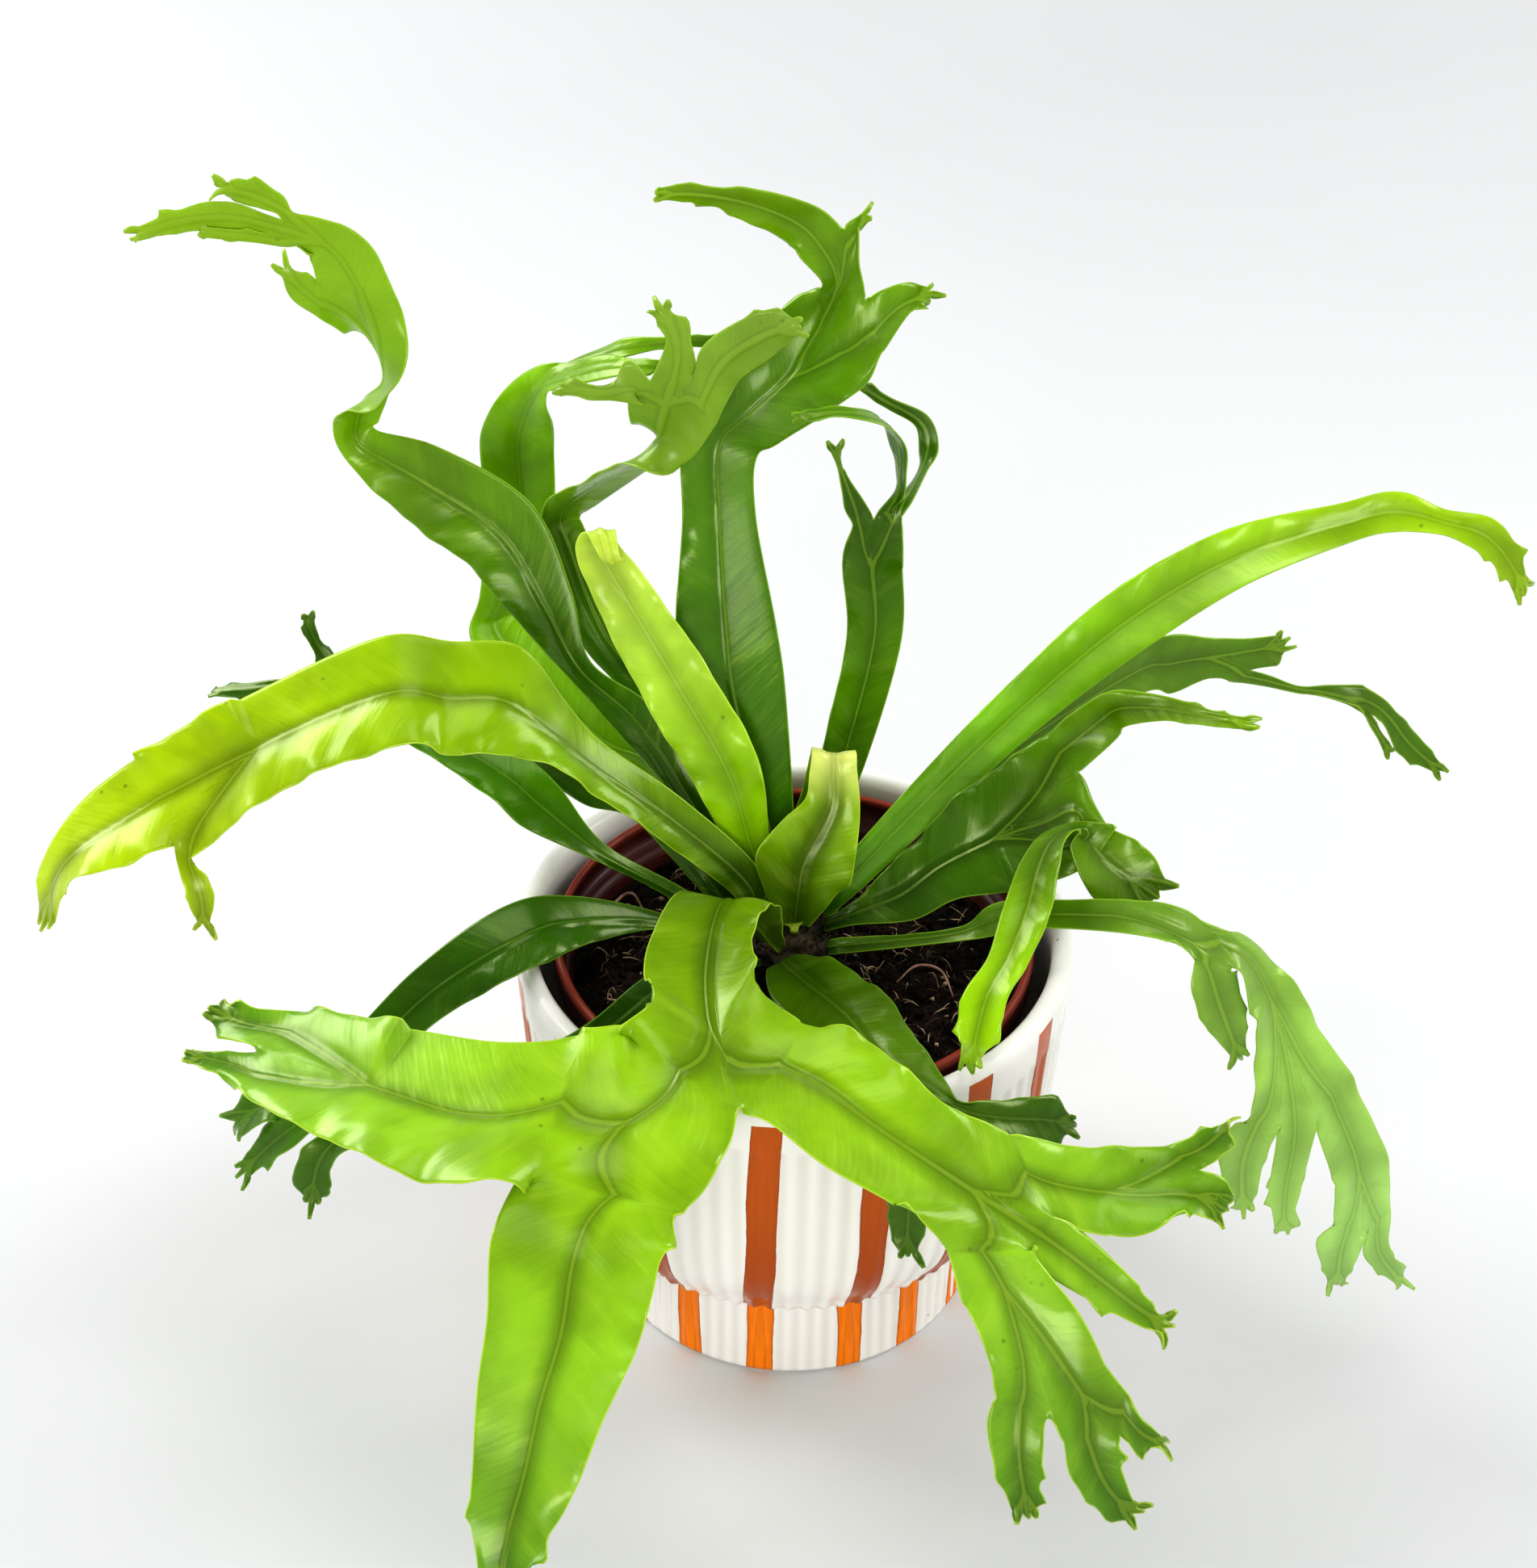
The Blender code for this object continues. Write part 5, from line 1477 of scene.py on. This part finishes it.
def softbox(name, place, size, power):
    """A rectangular light that looks at the plant."""
    light = bpy.data.lights.new(name, "AREA")
    light.shape = "RECTANGLE"
    light.size, light.size_y = size
    light.energy = power
    ob = bpy.data.objects.new(name, light)
    ob.location = place
    away = unit(np.array(place, float) - np.array(LIGHT_AIM))
    side = unit(np.cross([0, 0, 1], away)) if abs(away[2]) < 0.99 else np.array([1.0, 0, 0])
    ob.rotation_euler = axes_matrix(side, np.cross(away, side), away).to_euler()
    bpy.context.scene.collection.objects.link(ob)


def lights():
    view = bpy.context.scene.view_settings
    view.view_transform = "Standard"
    view.look = "Medium High Contrast"
    world = bpy.data.worlds.new("studio")
    world.use_nodes = True
    nodes, links = world.node_tree.nodes, world.node_tree.links
    way = nodes.new("ShaderNodeTexCoord")
    parts = nodes.new("ShaderNodeSeparateXYZ")
    links.new(way.outputs["Generated"], parts.inputs[0])
    level = nodes.new("ShaderNodeMapRange")
    for socket, value in zip(level.inputs[1:5], (0.25, 0.6, HORIZON_LIGHT, WORLD_LIGHT), strict=True):
        socket.default_value = value
    links.new(parts.outputs["Z"], level.inputs[0])
    back = nodes["Background"]
    back.inputs["Color"].default_value = (0.98, 0.99, 1.0, 1.0)
    links.new(level.outputs[0], back.inputs["Strength"])
    bpy.context.scene.world = world
    for name, place, size, power in SOFTBOXES:
        softbox(name, place, size, power)


def camera():
    data = bpy.data.cameras.new("camera")
    data.sensor_width = 36
    data.sensor_fit = "AUTO"
    data.lens = LENS
    ob = bpy.data.objects.new("camera", data)
    down, level = math.sin(LOOK_DOWN), math.cos(LOOK_DOWN)
    x, y, z = CAMERA_TARGET
    place = (x, y - CAMERA_DISTANCE * level, z + CAMERA_DISTANCE * down)
    right, up, back = np.array([1.0, 0, 0]), np.array([0, down, level]), np.array([0, -level, down])
    rolled_right = math.cos(ROLL) * right + math.sin(ROLL) * up
    rolled_up = math.cos(ROLL) * up - math.sin(ROLL) * right
    turn = axes_matrix(rolled_right, rolled_up, back).to_4x4()
    ob.matrix_world = Matrix.Translation(place) @ turn
    bpy.context.scene.collection.objects.link(ob)
    bpy.context.scene.camera = ob


def main():
    camera()
    lights()
    floor()
    materials = make_materials()
    planter(materials)
    nursery_pot(materials)
    potting_mix(materials)
    crown(materials)
    for name, part in FRONDS.items():
        frond(name, part, materials)


main()
